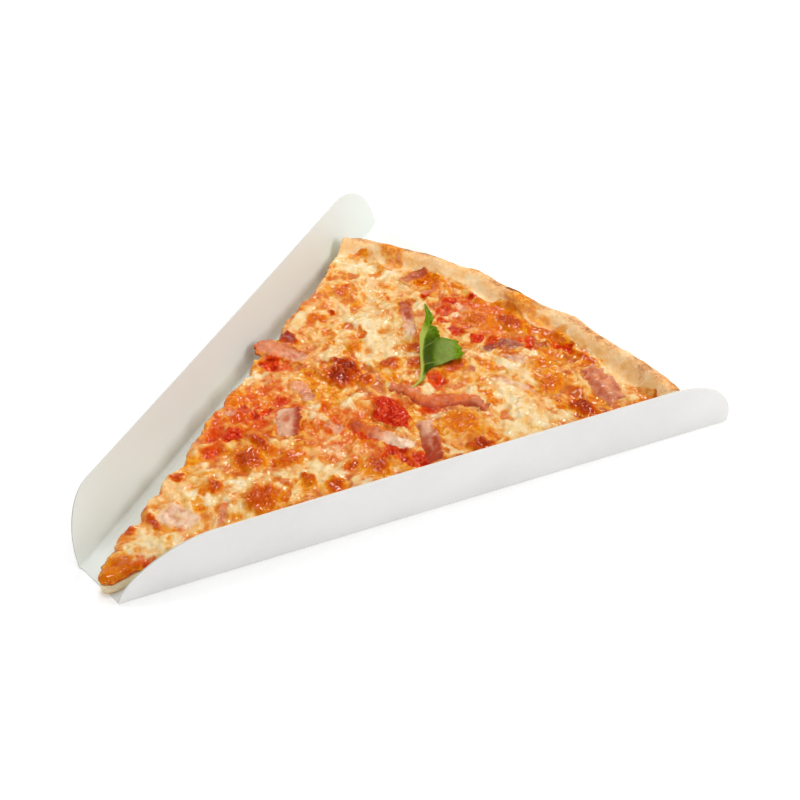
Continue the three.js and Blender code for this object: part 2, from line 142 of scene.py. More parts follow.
def close_sheet(front, back, layers=1, relief=None):
    """Points and triangles of a closed sheet between two grids of points alike in size.

    The rim between them has as many layers, and relief moves the points of each layer.
    """
    rows, columns = front.shape[:2]
    count = rows * columns
    ids = np.arange(count).reshape(rows, columns)
    rim = np.concatenate([ids[0, :-1], ids[:-1, -1], ids[-1, :0:-1], ids[:0:-1, 0]])
    points = [front.reshape(-1, 3), back.reshape(-1, 3)]
    rings = [rim]
    for k in range(1, layers):
        ring = mix(points[0][rim], points[1][rim], k / layers)
        points.append(ring + relief(ring) if relief else ring)
        rings.append(2 * count + (k - 1) * len(rim) + np.arange(len(rim)))
    rings.append(rim + count)
    wall = np.array([np.append(ring, ring[0]) for ring in rings])
    triangles = [grid_triangles(ids), grid_triangles(ids + count)[:, ::-1], grid_triangles(wall)[:, ::-1]]
    return np.concatenate(points), np.concatenate(triangles)


spread = math.atan2((tray["rear_width"] - tray["front_width"]) / 2, tray["length"])
crease = tray["length"] / math.cos(spread)
bend = math.pi / 2 - tray["flare"]
setback = tray["fold_radius"] * math.tan(bend / 2)


def wall_height(t, wall):
    full = mix(wall["front_height"], wall["rear_height"], t / crease)
    ahead = np.clip(1 - t / wall["rise"], 0, 1)
    front = (1 - ahead ** wall["fullness"]) ** (1 / wall["fullness"])
    past = np.clip((t - crease + tray["rear_corner"]) / tray["rear_corner"], 0, 1)
    return np.maximum(full * np.minimum(front, np.sqrt(1 - past * past)), setback + 0.4)


def tray_half(t, wall, sign, offset):
    """Points from the middle of the base, through the fold and up the wall, for each station t."""
    radius = tray["fold_radius"]
    run = wall_height(t, wall)[:, None] - setback
    climb = np.linspace(0, 1, wall_points)[1:]
    angle = np.concatenate([np.linspace(0, bend, fold_points), np.full(len(climb), bend)])[None]
    rise = np.concatenate([np.zeros(fold_points), climb])[None] * run
    out = radius * np.sin(angle) - setback + rise * math.sin(tray["flare"])
    up = tray["card"] / 2 + radius * (1 - np.cos(angle)) + rise * math.cos(tray["flare"])
    out = out - offset * np.sin(angle)
    up = up + offset * np.cos(angle)
    along = t[:, None]
    out = out - wall_bow * np.sin(math.pi * along / crease) * rise / wall["rear_height"]
    x = tray["front_width"] / 2 + along * math.sin(spread) + out * math.cos(spread)
    y = along * math.cos(spread) - out * math.sin(spread) + tray["front"]
    fold = np.stack([x, y, up + 0 * x], -1)
    # The base between the middle and the fold, closer set over the beads of the score lines.
    inward = np.array([30, 12, 6, 5.2, 4.7, 4.3, 3.9, 3.4, 3.0, 2.6, 2.2, 1.6])
    beads = sum(h * np.exp(-((inward - d) / 0.3) ** 2) for d, h in score_lines)
    start = tray["front_width"] / 2 + along * math.sin(spread)
    middle = np.minimum(inward, 0.9 * start * math.cos(spread))
    bx = start - middle / math.cos(spread)
    by = along * math.cos(spread) + setback * math.sin(spread) + tray["front"] + 0 * middle
    fade = smoothstep(along, 4, 14) * (middle >= inward)
    base = np.stack([bx, by, tray["card"] / 2 + offset + beads * fade + 0 * bx], -1)
    half = np.concatenate([base, fold], 1)
    half[..., 0] *= sign
    return half


def tray_face(offset):
    """The stations along the tray run close together where the ends of the walls are rounded."""
    rise, corner = right_wall["rise"], tray["rear_corner"]
    t = np.concatenate([rise * np.linspace(0, 1, end_rows) ** 2,
                        np.linspace(rise, crease - corner, middle_rows)[1:],
                        crease - corner * (1 - np.sin(np.linspace(0, math.pi / 2, end_rows)))[1:]])
    left = tray_half(t, left_wall, -1, offset)[:, ::-1]
    right = tray_half(t, right_wall, 1, offset)
    return np.concatenate([left, right], 1)


# Coated paperboard: smooth and nearly matt, faintly mottled where the pulp shows through
# the clay. The inside is a little paler and cooler: painted light, which brightens the
# inner faces and offsets the warm light bounced onto them from the slice. Low down, near
# the tip of the slice and along its two creases, the inside is darker with painted shade
# cast by the slice. The cut edge is raw pulp.
card, tree, place = new_material("coated_paperboard")
mottle, clouds, fibres = (
    add(tree, "ShaderNodeTexNoise",
        {"Vector": place, "Scale": 1 / (size * MM), "Detail": detail, "Roughness": rough})
    for size, detail, rough in ((3, 4, 0.6), (28, 1, 0.5), (0.5, 3, 0.5)))
tone = add(tree, "ShaderNodeMath", {"Value": mottle, "Value_001": 0.35, "Value_002": clouds},
           operation="MULTIPLY_ADD")
colour = add(tree, "ShaderNodeValToRGB", {"Fac": tone}, stops=[(0.45, "#dad9d7"), (0.85, "#e1e0de")])
# The inside tint is painted light, the dark grey tint is painted shade cast by the slice, and the edge
# tint is raw pulp.
for key, tint in (("inside", "#e6ebe6"), ("greasy", "#bcbab0"), ("edge", "#dcd7cb")):
    amount = add(tree, "ShaderNodeAttribute", attribute_name=key).outputs["Fac"]
    colour = add(tree, "ShaderNodeMix", {"Factor": amount, "A": colour, "B": srgb(tint)},
                 data_type="RGBA")
bump = add(tree, "ShaderNodeBump", {"Height": fibres, "Strength": 0.08, "Distance": 0.1 * MM})
shader = add(tree, "ShaderNodeBsdfPrincipled",
             {"Base Color": colour, "Roughness": 0.5, "IOR": 1.5, "Specular IOR Level": 0.35,
              "Normal": bump})
add(tree, "ShaderNodeOutputMaterial", {"Surface": shader})

face, back = tray_face(tray["card"] / 2), tray_face(-tray["card"] / 2)
points, triangles = close_sheet(face, back, layers=3)
edge, inside = np.ones(len(points)), np.zeros(len(points))
edge[:2 * face[..., 0].size] = 0
inside[:face[..., 0].size] = 1
along, up = points[:, 1] - tray["front"], points[:, 2]
# Painted shade from the slice: the inside darkens low down, from 6 to 95 mm along from the front.
greasy = 0.45 * inside * (1 - smoothstep(up, 0.8, 5))
greasy = greasy * smoothstep(along, 6, 20) * (1 - smoothstep(along, 40, 95))
card_tray = make_piece("card_tray_sheet", points, triangles, card,
                       edge=edge, inside=inside, greasy=greasy)
card_tray.data.set_sharp_from_angle(angle=math.radians(50))
place_piece(card_tray, "white_card", "card_tray")

# ---------- Dough ----------
# Stretched wheat dough: a thin base under the topping and a puffed bare rim, baked pale
# gold on a stone. It was cut with a wheel, so its two straight sides show the crumb.

slice_point = [1, -103.9]              # where the two cuts would meet
slice_turn = math.radians(1.6)
cut_left, cut_right = 22.1, 23.4       # degrees from the middle of the slice
rim = dict(radius=203.5, top=14.2, start=10.3, belly=5.4, seam=0.8, under=2.4, band=12.6, shoulder=6.5,
           lead_in=5)                  # the rise to the rim starts so far inside the cheese's edge
base_floor, base_top = 0.8, 4.3
tip_start = 1.9
left_notches = [[20, -1.5, 4], [26, 2, 1.8], [38, 1.2, 3], [52, 1.8, 5], [104, 1.8, 3], [126, 2.2, 2.6],
                [156, 1.4, 10]]
right_notches = [[33, 1.4, 5], [67, 1.6, 7], [98, 1.2, 5], [133, 1.8, 12], [160, 1.5, 6]]


def noise(x, y, size, seed, octaves=3):
    """A smooth random field, about -1 to 1, with lumps of the given size in millimetres."""
    lattice = np.random.default_rng(seed).uniform(-1, 1, (256, 256))
    total, weight = 0, 1
    for octave in range(octaves):
        px = np.asarray(x) / size * 2 ** octave + 37.3 * octave
        py = np.asarray(y) / size * 2 ** octave + 11.9 * octave
        ix, iy = np.floor(px).astype(int), np.floor(py).astype(int)
        fx, fy = smoothstep(px - ix, 0, 1), smoothstep(py - iy, 0, 1)
        corner = [[lattice[(ix + i) % 256, (iy + j) % 256] for j in (0, 1)] for i in (0, 1)]
        total = total + weight * mix(mix(corner[0][0], corner[1][0], fx),
                                     mix(corner[0][1], corner[1][1], fx), fy)
        weight *= 0.5
    return total


def angle_at(u):
    return mix(-cut_left, cut_right, u)


def crust_radius(angle):
    """Distance from the point to the outside of the crust, at an angle in degrees."""
    lumps = 0.5 * np.sin(angle * 0.9) - 0.5 * np.cos(angle * 0.45)
    dents = 1.1 * np.exp(-((angle + 8) / 3) ** 2) - 1.4 * np.exp(-((angle - 2) / 2.6) ** 2)
    radius = rim["radius"] + 0.28 * angle + lumps + dents
    return radius - 0.8 * smoothstep(-angle, 19, 23) + 0.8 * smoothstep(angle, 14, 20)


def cheese_radius(angle):
    inner = crust_radius(angle) - rim["band"]
    return inner + 1.6 * np.sin(angle * 0.6 + 0.8) + 0.8 * np.sin(angle * 0.95)


def on_slice(r, u, pull=0):
    """Across and away from the tip, at a radius and a share u of the way from cut to cut."""
    angle = np.radians(angle_at(u))
    blunt = u * np.exp(-(r / 13) ** 2)
    rounded = 2.6 * (2 * u - 1) ** 2 * np.exp(-(r / 4) ** 2)
    x = r * np.sin(angle) + pull * np.cos(angle) + 4 * blunt
    y = r * np.cos(angle) - pull * np.sin(angle) - 1.5 * blunt + rounded
    return x, y


def cut_shift(r, notches):
    """How far the ragged cut edge of the topping lies outside the straight cut."""
    shift = 0.45 * np.sin(r * 0.43) + 0.4 * np.sin(r * 0.173 + 1)
    for at, depth, length in notches:
        shift = shift - depth * np.exp(-((r - at) / length) ** 2)
    return shift * smoothstep(r, 3, 13)


def to_tray(points):
    """Turns points from the slice's own frame to where it lies in the tray."""
    c, s = math.cos(slice_turn), math.sin(slice_turn)
    x, y = points[..., 0], points[..., 1]
    return np.stack([slice_point[0] + c * x - s * y, slice_point[1] + s * x + c * y, points[..., 2]], -1)


def rim_height(angle, away):
    """Top of the rim at a distance in from its outside."""
    top = rim["top"] + 0.35 * np.sin(angle * 0.55 + 2) + 0.25 * np.sin(angle * 1.1)
    top = top + 2.1 * smoothstep(angle, 12, 19) + 0.9 * np.exp(-((angle + 16) / 4) ** 2)
    inner = 1 - np.clip(away / rim["shoulder"], 0, 1)
    outside = rim["belly"] + (top - rim["belly"]) * np.sqrt(1 - inner ** 2)
    slope = mix(top, rim["start"], smoothstep(away, rim["shoulder"], rim["band"]))
    return np.where(away < rim["shoulder"], outside, slope)


def spots(x, y, listed, wobble=1.0, seed=3):
    """The strongest of a list of soft-edged patches: x, y, half sizes, strength, any turn."""
    wx = x + wobble * noise(x, y, 3.2, seed)
    wy = y + wobble * noise(x, y, 3.2, seed + 1)
    field = np.zeros_like(wx)
    for cx, cy, rx, ry, strength, *turn in listed:
        turn = math.radians(sum(turn))
        c, s = math.cos(turn), math.sin(turn)
        dx, dy = wx - cx, wy - cy
        d = np.sqrt(((c * dx + s * dy) / rx) ** 2 + ((c * dy - s * dx) / ry) ** 2)
        field = np.maximum(field, strength * (1 - smoothstep(d, 0.45, 1.25)))
    return field


# Patches that the oven toasted, and where fat from the cheese has run onto the rim.
toasted = [
    [2, 200, 7, 3.6, 1.1], [8, 199, 6, 3, 0.7], [-57, 191, 5, 2.6, 0.7, 20], [68, 189, 4, 3, 0.5, -20],
    [-53, 188, 4, 3, 0.6, 20], [-49, 193, 8, 2, 0.5, 15], [67, 191.5, 5, 3, 0.6, -30],
    [79, 188.5, 4, 3, 0.45, 60], [75, 184, 3, 2.4, 0.6], [-67, 186, 3, 4, 0.35], [0, 196, 6, 3, 0.5],
    [24, 202, 12, 2.2, 0.45, -4], [48, 199, 12, 2.4, 0.45, -12], [62, 195, 6, 3, 0.5, -16],
]
oily_rim = [
    [-47.5, 180.5, 4, 4, 1.9], [22, 192, 16, 3.4, 1.3, -6], [38, 189.5, 9, 3, 1.1, -12],
    [-20, 188, 10, 2.6, 1.1], [8, 194, 11, 5, 1.5], [-52, 186, 6, 5, 2.2], [52, 185, 8, 2, 0.5, -12],
    [-48, 180, 4, 4, 0.6],
]

dough_columns = 281
dough_rows = (56, 26, 30)              # on the flat, up the slope, and over the rim's outside


def dough_sides():
    """The upper and lower faces as grids, from the tip out to the belly of the rim."""
    u = np.linspace(0, 1, dough_columns)[None]
    angle, outer = angle_at(u), crust_radius(angle_at(u))
    shoulder = outer - rim["shoulder"]
    inner = cheese_radius(angle) - rim["lead_in"]
    flat, slope, turn = (np.linspace(0, 1, n)[:, None] for n in dough_rows)
    turn = turn[1:]
    inside = np.concatenate([mix(tip_start, inner, flat), mix(inner, shoulder, slope)[1:]])
    over = shoulder + rim["shoulder"] * np.sin(turn * math.pi / 2)
    tuck = np.clip(2 * turn - 1, 0, 1) * math.pi / 2
    under = mix(shoulder, outer - rim["under"], np.minimum(2 * turn, 1)) + rim["under"] * np.sin(tuck)
    upper_r, lower_r = np.concatenate([inside, over]), np.concatenate([inside, under])
    rise = (rim["belly"] - rim["seam"] - base_floor) * (1 - np.cos(tuck))
    lower_z = base_floor + np.concatenate([0 * inside, rise + 0 * angle])
    past = upper_r - cheese_radius(angle)
    crown = rim_height(angle, np.maximum(outer - upper_r, 0))
    # The bare rim is puffed and lumpy, most of all on its top and outside.
    bare = smoothstep(past, -3, 1)
    steep = np.concatenate([np.zeros((len(inside), 1)), turn])
    x, y = on_slice(upper_r, u)
    puff = (0.55 * noise(x, y, 9, 11) + 0.22 * noise(x, y, 2.6, 12)
            + 0.5 * np.maximum(noise(x, y, 6, 13, 1), 0.3))
    swell = bare * steep * 0.5 * noise(angle * 3.5, 30 * steep, 7, 14)
    upper_z = mix(base_top, crown, smoothstep(past, -2.5, 0.5)) + bare * (1 - 0.6 * steep) * puff
    upper = np.stack([*on_slice(upper_r + swell, u), upper_z], -1)
    lower = np.stack([*on_slice(lower_r + swell * (lower_z > base_floor), u), lower_z], -1)
    return upper, lower


crumb_from = 15                        # degrees from the middle: only the two cuts lie beyond


def crumb(ring):
    """Pores of the crumb on the cut, as a move towards the middle of the slice."""
    x, y, z = ring.T
    r = np.hypot(x, y)
    depth = 0.35 * np.maximum(noise(r, z, 1.4, 21), 0) + 0.25 * noise(r, z, 4, 22)
    inward = np.where(np.abs(np.degrees(np.arctan2(x, y))) > crumb_from, -np.sign(x) * depth, 0)
    return np.stack([inward, 0 * inward, 0 * inward], -1)


# Baked wheat crust: matt and dry, pale cream where it puffed, gold to brown where it
# touched heat, dusted with flour. Fat has soaked in along the cheese.
crust, tree, place = new_material("baked_wheat_crust")
toast, fat, crumbs = (add(tree, "ShaderNodeAttribute", attribute_name=key).outputs["Fac"]
                      for key in ("toast", "oily", "crumb"))
mottle, speckle, grain, wrinkle = (
    add(tree, "ShaderNodeTexNoise",
        {"Vector": place, "Scale": 1 / (size * MM), "Detail": detail, "Roughness": rough})
    for size, detail, rough in ((7, 5, 0.62), (0.9, 3, 0.7), (2.2, 4, 0.7), (1.3, 6, 0.65)))
both, uneven, soaked = (
    add(tree, "ShaderNodeMath", {"Value": part, "Value_001": weight, "Value_002": start},
        operation="MULTIPLY_ADD")
    for part, weight, start in ((speckle, 0.3, mottle), (speckle, 0.7, toast), (grain, 2.4, fat)))
baked, soak = (
    add(tree, "ShaderNodeMapRange", {"Value": amount, "From Min": low, "From Max": high, "To Max": most},
        interpolation_type="SMOOTHSTEP")
    for amount, low, high, most in ((uneven, 0.56, 1.25, 1), (soaked, 1.45, 2.7, 0.9)))
colour = add(tree, "ShaderNodeValToRGB", {"Fac": both},
             stops=[(0.48, "#fee2b2"), (0.64, "#fcd29a"), (0.82, "#f4b868")])
brown = add(tree, "ShaderNodeValToRGB", {"Fac": baked},
            stops=[(0, "#eca866"), (0.55, "#d4823c"), (1, "#94541f")])
amber = add(tree, "ShaderNodeValToRGB", {"Fac": grain},
            stops=[(0.36, "#c85800"), (0.5, "#e6860e"), (0.64, "#f2b650")])
for amount, tint in ((baked, brown), (soak, amber), (crumbs, srgb("#f0deb8"))):
    colour = add(tree, "ShaderNodeMix", {"Factor": amount, "A": colour, "B": tint}, data_type="RGBA")
bump = add(tree, "ShaderNodeBump", {"Height": wrinkle, "Strength": 0.5, "Distance": 0.5 * MM})
shader = add(tree, "ShaderNodeBsdfPrincipled",
             {"Base Color": colour, "Roughness": 0.62, "IOR": 1.45, "Specular IOR Level": 0.2,
              "Normal": bump, "Subsurface Weight": 0.25, "Subsurface Radius": (1, 0.55, 0.3),
              "Subsurface Scale": 1.5 * MM})
add(tree, "ShaderNodeOutputMaterial", {"Surface": shader})

upper, lower = dough_sides()
points, triangles = close_sheet(upper, lower, layers=8, relief=crumb)
x, y, z = points.T
cut_face = np.zeros(len(points))
cut_face[2 * upper[..., 0].size:] = 1
cut_face *= np.hypot(x, y) < crust_radius(np.degrees(np.arctan2(x, y))) - 1
# Its crown and its foot, which stood on the stone, have browned; its side is pale, and
# the brown of the crown ends unevenly on the way down.
away = crust_radius(np.degrees(np.arctan2(x, y))) - np.hypot(x, y)
crown = (0.62 + 0.22 * noise(x, y, 7, 15)) * (1 - smoothstep(away, 5.5, 11))
height = z + 2 * noise(np.degrees(np.arctan2(x, y)) * 3.5, z, 6, 16)
browned = np.maximum(spots(x, y, toasted, 1.6), crown) * smoothstep(height, 7, 13.5)
browned = browned + 0.4 * (1 - smoothstep(z, base_floor, base_floor + 2.5))
oily = spots(x, y, oily_rim, 2) * smoothstep(height, 7, 12)
dough = make_piece("dough_base_and_rim", to_tray(points), triangles, crust,
                   toast=browned, oily=oily, crumb=cut_face)
place_piece(dough, "baked_dough", "dough")

# ---------- Tomato sauce ----------
# Strained tomato cooked down with oil, spread thinly on the dough. It shows as a wet red
# line along both cuts, uneven where the cheese has sunk into it.

sauce_floor, sauce_top, sauce_inset = 4.15, 5.6, 0.7
sauce_columns, sauce_rows = 61, 260

# Cooked tomato sauce: deep orange red, pulpy and wet.
sauce_red, tree, place = new_material("cooked_tomato_sauce")
pulp = add(tree, "ShaderNodeTexNoise",
           {"Vector": place, "Scale": 1 / (1.2 * MM), "Detail": 4, "Roughness": 0.6})
colour = add(tree, "ShaderNodeValToRGB", {"Fac": pulp},
             stops=[(0.35, "#a92a08"), (0.55, "#c83c0e"), (0.75, "#e0702a")])
bump = add(tree, "ShaderNodeBump", {"Height": pulp, "Strength": 0.6, "Distance": 0.4 * MM})
shader = add(tree, "ShaderNodeBsdfPrincipled",
             {"Base Color": colour, "Roughness": 0.22, "IOR": 1.4, "Specular IOR Level": 0.3,
              "Coat Weight": 0.2, "Coat Roughness": 0.1, "Normal": bump})
add(tree, "ShaderNodeOutputMaterial", {"Surface": shader})

u = np.linspace(0, 1, sauce_columns)[None]
share = np.linspace(0, 1, sauce_rows)[:, None]
r = mix(tip_start + 1.5, cheese_radius(angle_at(u)) - 1.5, share)
out = 0.5 * (cut_shift(r, right_notches) * u ** 6 - cut_shift(r, left_notches) * (1 - u) ** 6)
inset = sauce_inset * ((1 - u) ** 6 - u ** 6) * smoothstep(r, 3, 10)
x, y = on_slice(r, u, out + inset)
top = np.stack([x, y, sauce_top + 0.25 * noise(x, y, 3, 31)], -1)
bottom = np.stack([x, y, np.full_like(x, sauce_floor)], -1)
points, triangles = close_sheet(top, bottom, layers=3)
sauce = make_piece("tomato_sauce_layer", to_tray(points), triangles, sauce_red)
place_piece(sauce, "tomato_sauce", "tomato_sauce")

# ---------- Melted cheese ----------
# Grated mozzarella, melted into one sheet. Shreds still show as soft ridges, steam has
# blown blisters that browned on top, and fat and tomato have pooled in the hollows.

cheese = dict(tip_level=6.9, level=9.8, level_length=90, floor=5.3, least=0.6, step=0.46,
              edge=1.3, edge_drop=1.7, tip_drop=0.9, over_rim=0.45, tuck=3)
# How far each thing lifts or sinks the sheet.
relief = dict(shreds=0.65, tomato=0.75, fat=0.25, white=0.35, strip_bed=1.1, strip_lip=0.3, lump_bed=1.2)

# Browned blisters: across, from the tip, half width, half length, height, browning.
blisters = [
    [14.3, 57.5, 5.8, 7, 2, 0.54], [17.5, 73.5, 3.6, 2.4, 1.3, 0.5], [-3.5, 66.5, 6.5, 5.5, 1.5, 0.62],
    [-42, 119.5, 5.2, 3.4, 1.4, 0.9], [-12.5, 117, 6.5, 5, 1.9, 0.9], [-14.5, 123, 7, 3.6, 1.6, 0.85],
    [-5, 122, 4.5, 4.5, 1.2, 0.62], [31, 93.5, 5, 4, 1.2, 0.65], [24.5, 88, 3, 4, 1, 0.55],
    [27, 77.5, 4.2, 4, 0.8, 0.6], [36, 129.5, 8, 8, 1.2, 0.36], [48, 126, 4.5, 4.5, 1.2, 0.75],
    [61, 165.5, 6.5, 4, 1.5, 0.85], [45, 166.5, 4.5, 5.5, 1.1, 0.42], [-63.5, 176.5, 3.6, 3, 1.2, 0.36],
    [-56, 186.5, 5, 4, 1.2, 0.75], [-49.5, 154, 3.2, 4.6, 1.1, 0.45], [-21, 133.5, 3.4, 3, 1, 0.34],
    [-4, 134.5, 4.4, 4.2, 1.4, 0.6], [-5.5, 148.5, 3.6, 3.6, 1.3, 0.6], [2, 142, 3.6, 4, 1.1, 0.55],
    [10, 185, 8, 4.5, 1.5, 0.66], [4.5, 4, 4.5, 4, 0.4, 0.3], [-4, 26.8, 6, 1.8, 0.9, 0.7],
    [-1.5, 50.5, 3.4, 3, 0.8, 0.55], [50.5, 150.5, 9, 6, 0.9, 0], [-32, 147.5, 8, 5, 0.8, 0],
    [1, 178, 7, 5, 1, 0.45], [13, 150.5, 3.4, 5.4, 0.6, 0.6], [-44, 136, 4.5, 3, 0.8, 0.42],
    [-43, 142, 1.6, 1.6, 0.5, 0.8], [-6.5, 19.5, 2, 2, 0.5, 0.6], [-14, 44, 1.6, 2.6, 0.6, 0.62],
    [-7, 74, 7, 2.6, 0.8, 0.7], [6, 76, 4, 5, 0.7, 0.5], [35, 175, 5, 4, 0.8, 0.35],
    [44, 187, 5, 2, 0.5, 0.55],
]

# Where tomato shows through: across, from the tip, half sizes, strength, any turn in degrees.
tomato_patches = [
    [6, 14.5, 2.8, 4.5, 0.6, -30], [22, 130, 4.5, 7, 0.7], [-15, 60, 4, 4, 0.7],
    [-21, 65, 3.4, 3.6, 0.75], [-5, 63.5, 5, 2, 0.8, -20], [-22, 68.5, 4, 2.6, 0.75],
    [-17, 69, 2, 3.4, 0.9], [4, 72.5, 4, 2, 0.6, -40], [6.5, 77, 3, 4.5, 0.5], [-18, 82.5, 5, 2, 1, -30],
    [-23, 81.5, 3.4, 1.8, 0.9], [-16, 87, 1.8, 4, 0.9], [-18, 93, 4.2, 3.2, 0.85, 20],
    [-25, 88, 5, 2.4, 0.35, -30], [24, 89, 4.4, 2.2, 0.6, -50], [-36, 105.5, 5, 2.6, 1, -20],
    [-31, 108, 3, 3.4, 0.5, 30], [15, 102.5, 8.5, 2, 0.85, 5], [29, 104, 5, 2.2, 0.85],
    [37, 103.5, 6, 1.8, 0.8, 8], [28, 100, 2, 3.4, 0.7], [39, 107, 4.4, 3, 1], [-4, 102, 5, 1.8, 0.5],
    [10, 119, 7, 3, 0.6, 20], [14, 141.5, 5.4, 4.6, 0.85, -10], [-34, 164, 2.6, 1.6, 0.6],
    [-50, 157, 5, 1.8, 0.6, -45], [-11, 187, 2, 2.6, 0.85, 10], [-15.5, 179.5, 3, 3.4, 0.95, 30],
    [-13, 173.5, 2.6, 4.4, 0.9, 20], [-9, 168.5, 3, 2.4, 0.9, -30], [-1, 168, 4.5, 2.6, 0.95, -40],
    [0.5, 173.5, 2, 3, 0.85], [23, 181, 4.4, 2.4, 0.9, -40], [35, 188, 5.4, 2, 0.95, -8],
    [-25, 176, 1.6, 3.4, 0.75], [13, 172, 2.4, 3.4, 0.6, 20], [57, 166, 4, 3, 0.5],
    [-44, 135.5, 5, 2.6, 0.5, 10], [-26, 72, 2, 3.4, 0.5], [-27, 97, 7, 8, 0.2], [-20, 86, 14, 18, 0.34],
    [10, 98, 18, 12, 0.28], [0, 180, 20, 11, 0.34],
]

# Orange fat: the same.
fat_pools = [
    [4, 6, 7, 9, 1], [-4, 27.3, 8, 1.7, 0.8], [3, 27, 3, 1.7, 0.6], [-3, 46.5, 2.6, 2, 0.8],
    [1.5, 41, 2.2, 2.4, 0.7], [14.5, 45.5, 3, 4, 0.55, 20], [18.5, 64, 2.2, 6, 0.9, 40],
    [-14, 44, 2, 3, 0.8], [-24, 66, 5, 5, 0.6], [-15, 52, 4, 7, 0.45], [-29, 84, 3, 5, 0.7],
    [-22, 90, 10, 4, 0.4, -35], [-3, 67, 7, 6, 0.7], [7, 77, 3.4, 5, 0.7], [18, 73, 4.4, 3, 0.7],
    [27, 77, 5, 5, 0.75], [1.5, 93.5, 2.6, 3, 0.85], [31, 93, 6, 6, 0.6], [-6, 105, 7, 4.4, 0.6],
    [-22, 111.5, 3.4, 2.4, 0.8], [-14, 109, 14, 3, 0.5, 10], [-42, 117, 5, 2, 0.7, -20],
    [-17, 128.5, 6, 2.6, 0.95, -18], [-21, 133.5, 4, 3.4, 0.7], [-25.5, 141, 4, 2.4, 1, -50],
    [-32, 140.5, 4.4, 1.8, 0.95, -5], [-29.5, 130, 3, 2, 0.75, -40], [-4, 133, 6.4, 5, 0.5],
    [1.5, 131, 5, 2.4, 0.6], [-37.5, 150.5, 1.8, 6, 0.75, 40], [-51, 155, 4, 6, 0.7, 35],
    [-52, 151, 5, 3, 0.5], [-54, 165, 3.4, 2.2, 0.95], [-60, 163.5, 4, 1.2, 0.8, 5],
    [-48, 172, 2.2, 4.4, 0.8, 15], [-61.5, 177.5, 3, 2, 0.7], [-47.5, 180, 4, 4, 1],
    [-56, 187, 5.6, 4.6, 0.8], [-30, 183.5, 5, 4.4, 0.85, 30], [-25, 177.5, 2.4, 6, 0.7, 10],
    [-22, 187.5, 10, 2, 0.7], [-12, 190, 6, 1.6, 0.7], [5, 184, 14, 8, 0.72], [24, 190, 14, 3.2, 1, -7],
    [20, 186.5, 6, 3, 1], [12.7, 66, 4, 2, 0.9, 20], [40, 187.5, 6, 2, 0.85, -10], [34, 181.5, 6, 4, 0.8],
    [36, 175, 5, 4.4, 0.8], [44, 168, 5.4, 8, 0.85, 30], [24, 161, 5, 2.4, 0.75],
    [30, 148, 6.4, 1.2, 0.8, -4], [37, 145.8, 2, 1.4, 0.8, -30], [44.5, 143.6, 3.4, 2.2, 0.95, -20],
    [36, 129, 8, 9, 0.75], [48, 132, 5, 3, 0.75], [14, 147, 5, 9, 0.6], [36, 102, 6, 4, 0.5],
    [55, 160.5, 4, 2.4, 0.7], [62, 170.5, 7, 2, 0.7, -10], [40, 157, 7, 2, 0.4, 15],
    [-14, 100, 9, 1.6, 0.3], [14, 101, 9, 4, 0.4], [22, 121, 6, 3, 0.35],
]

# Thick white cheese that has hardly coloured: the same.
white_cheese = [
    [-6, 30, 3.4, 3, 0.8], [-1, 15, 3, 2.6, 0.7], [3, 62, 3, 4, 0.8], [13.5, 90, 4, 4.4, 0.7],
    [8.6, 72, 2.6, 3, 0.7], [-2, 78.5, 3, 2.6, 0.7], [-7, 181, 4.4, 3.2, 1], [-21.5, 168, 4, 3, 0.8, -30],
    [39.5, 163.5, 4, 3, 0.8], [0, 20.5, 4, 3.4, 1], [6.5, 24, 4, 5, 1], [-1, 12, 3, 2.4, 0.5],
    [-11, 53, 3, 3.4, 0.7], [-5, 44, 3, 3, 0.6], [4, 54, 3.4, 7, 0.6], [16, 77, 4, 5, 0.65, 20],
    [27, 176, 3, 3, 0.7], [1, 47, 3, 2.6, 0.7], [1.5, 10, 2.4, 2, 0.5], [22, 83, 5, 5, 0.85],
    [12, 69, 4, 4, 0.7], [-3, 97, 4.4, 3, 0.95, -20], [-36, 93, 4, 3, 0.6], [-33, 98, 4, 3, 0.6],
    [-14.5, 109, 1.4, 1.8, 0.9], [1, 112, 2, 6, 0.8], [33, 85, 3, 4, 0.7], [24, 112, 3, 2.4, 0.7],
    [43, 117, 4, 2.4, 0.8], [-30, 145.5, 9, 6, 1, -10], [-21, 142, 7, 4, 1, -30], [-12, 140, 6, 5, 0.9],
    [-12, 132, 7, 3, 0.8], [31, 142.5, 4, 2, 0.6], [-8.5, 100, 3, 2.4, 0.6], [12, 161, 3, 3, 0.7],
    [-48, 130, 3, 7, 0.7, 20], [-34, 158, 5, 4, 0.6], [-24, 124, 4, 5, 0.6], [-54, 171, 9, 7, 0.8],
    [-66, 170, 3, 5, 0.6, 25], [-44, 174, 6, 5, 0.9], [-6, 173, 3.4, 3, 0.8], [-3.5, 165, 3, 2, 0.7],
    [51, 146, 11, 8, 0.9], [38, 154, 10, 4, 0.7, 10], [31, 145, 8, 2.4, 0.8, -15], [53, 139, 5, 4, 0.7],
    [59, 157, 4, 4, 0.5], [26, 165, 7, 4, 0.8], [24, 186, 3, 2, 0.6], [60, 187, 8, 2.6, 1, -10],
    [70, 180, 3, 3, 0.6], [15, 133, 3, 5, 0.6], [28, 127, 3, 4, 0.5],
]

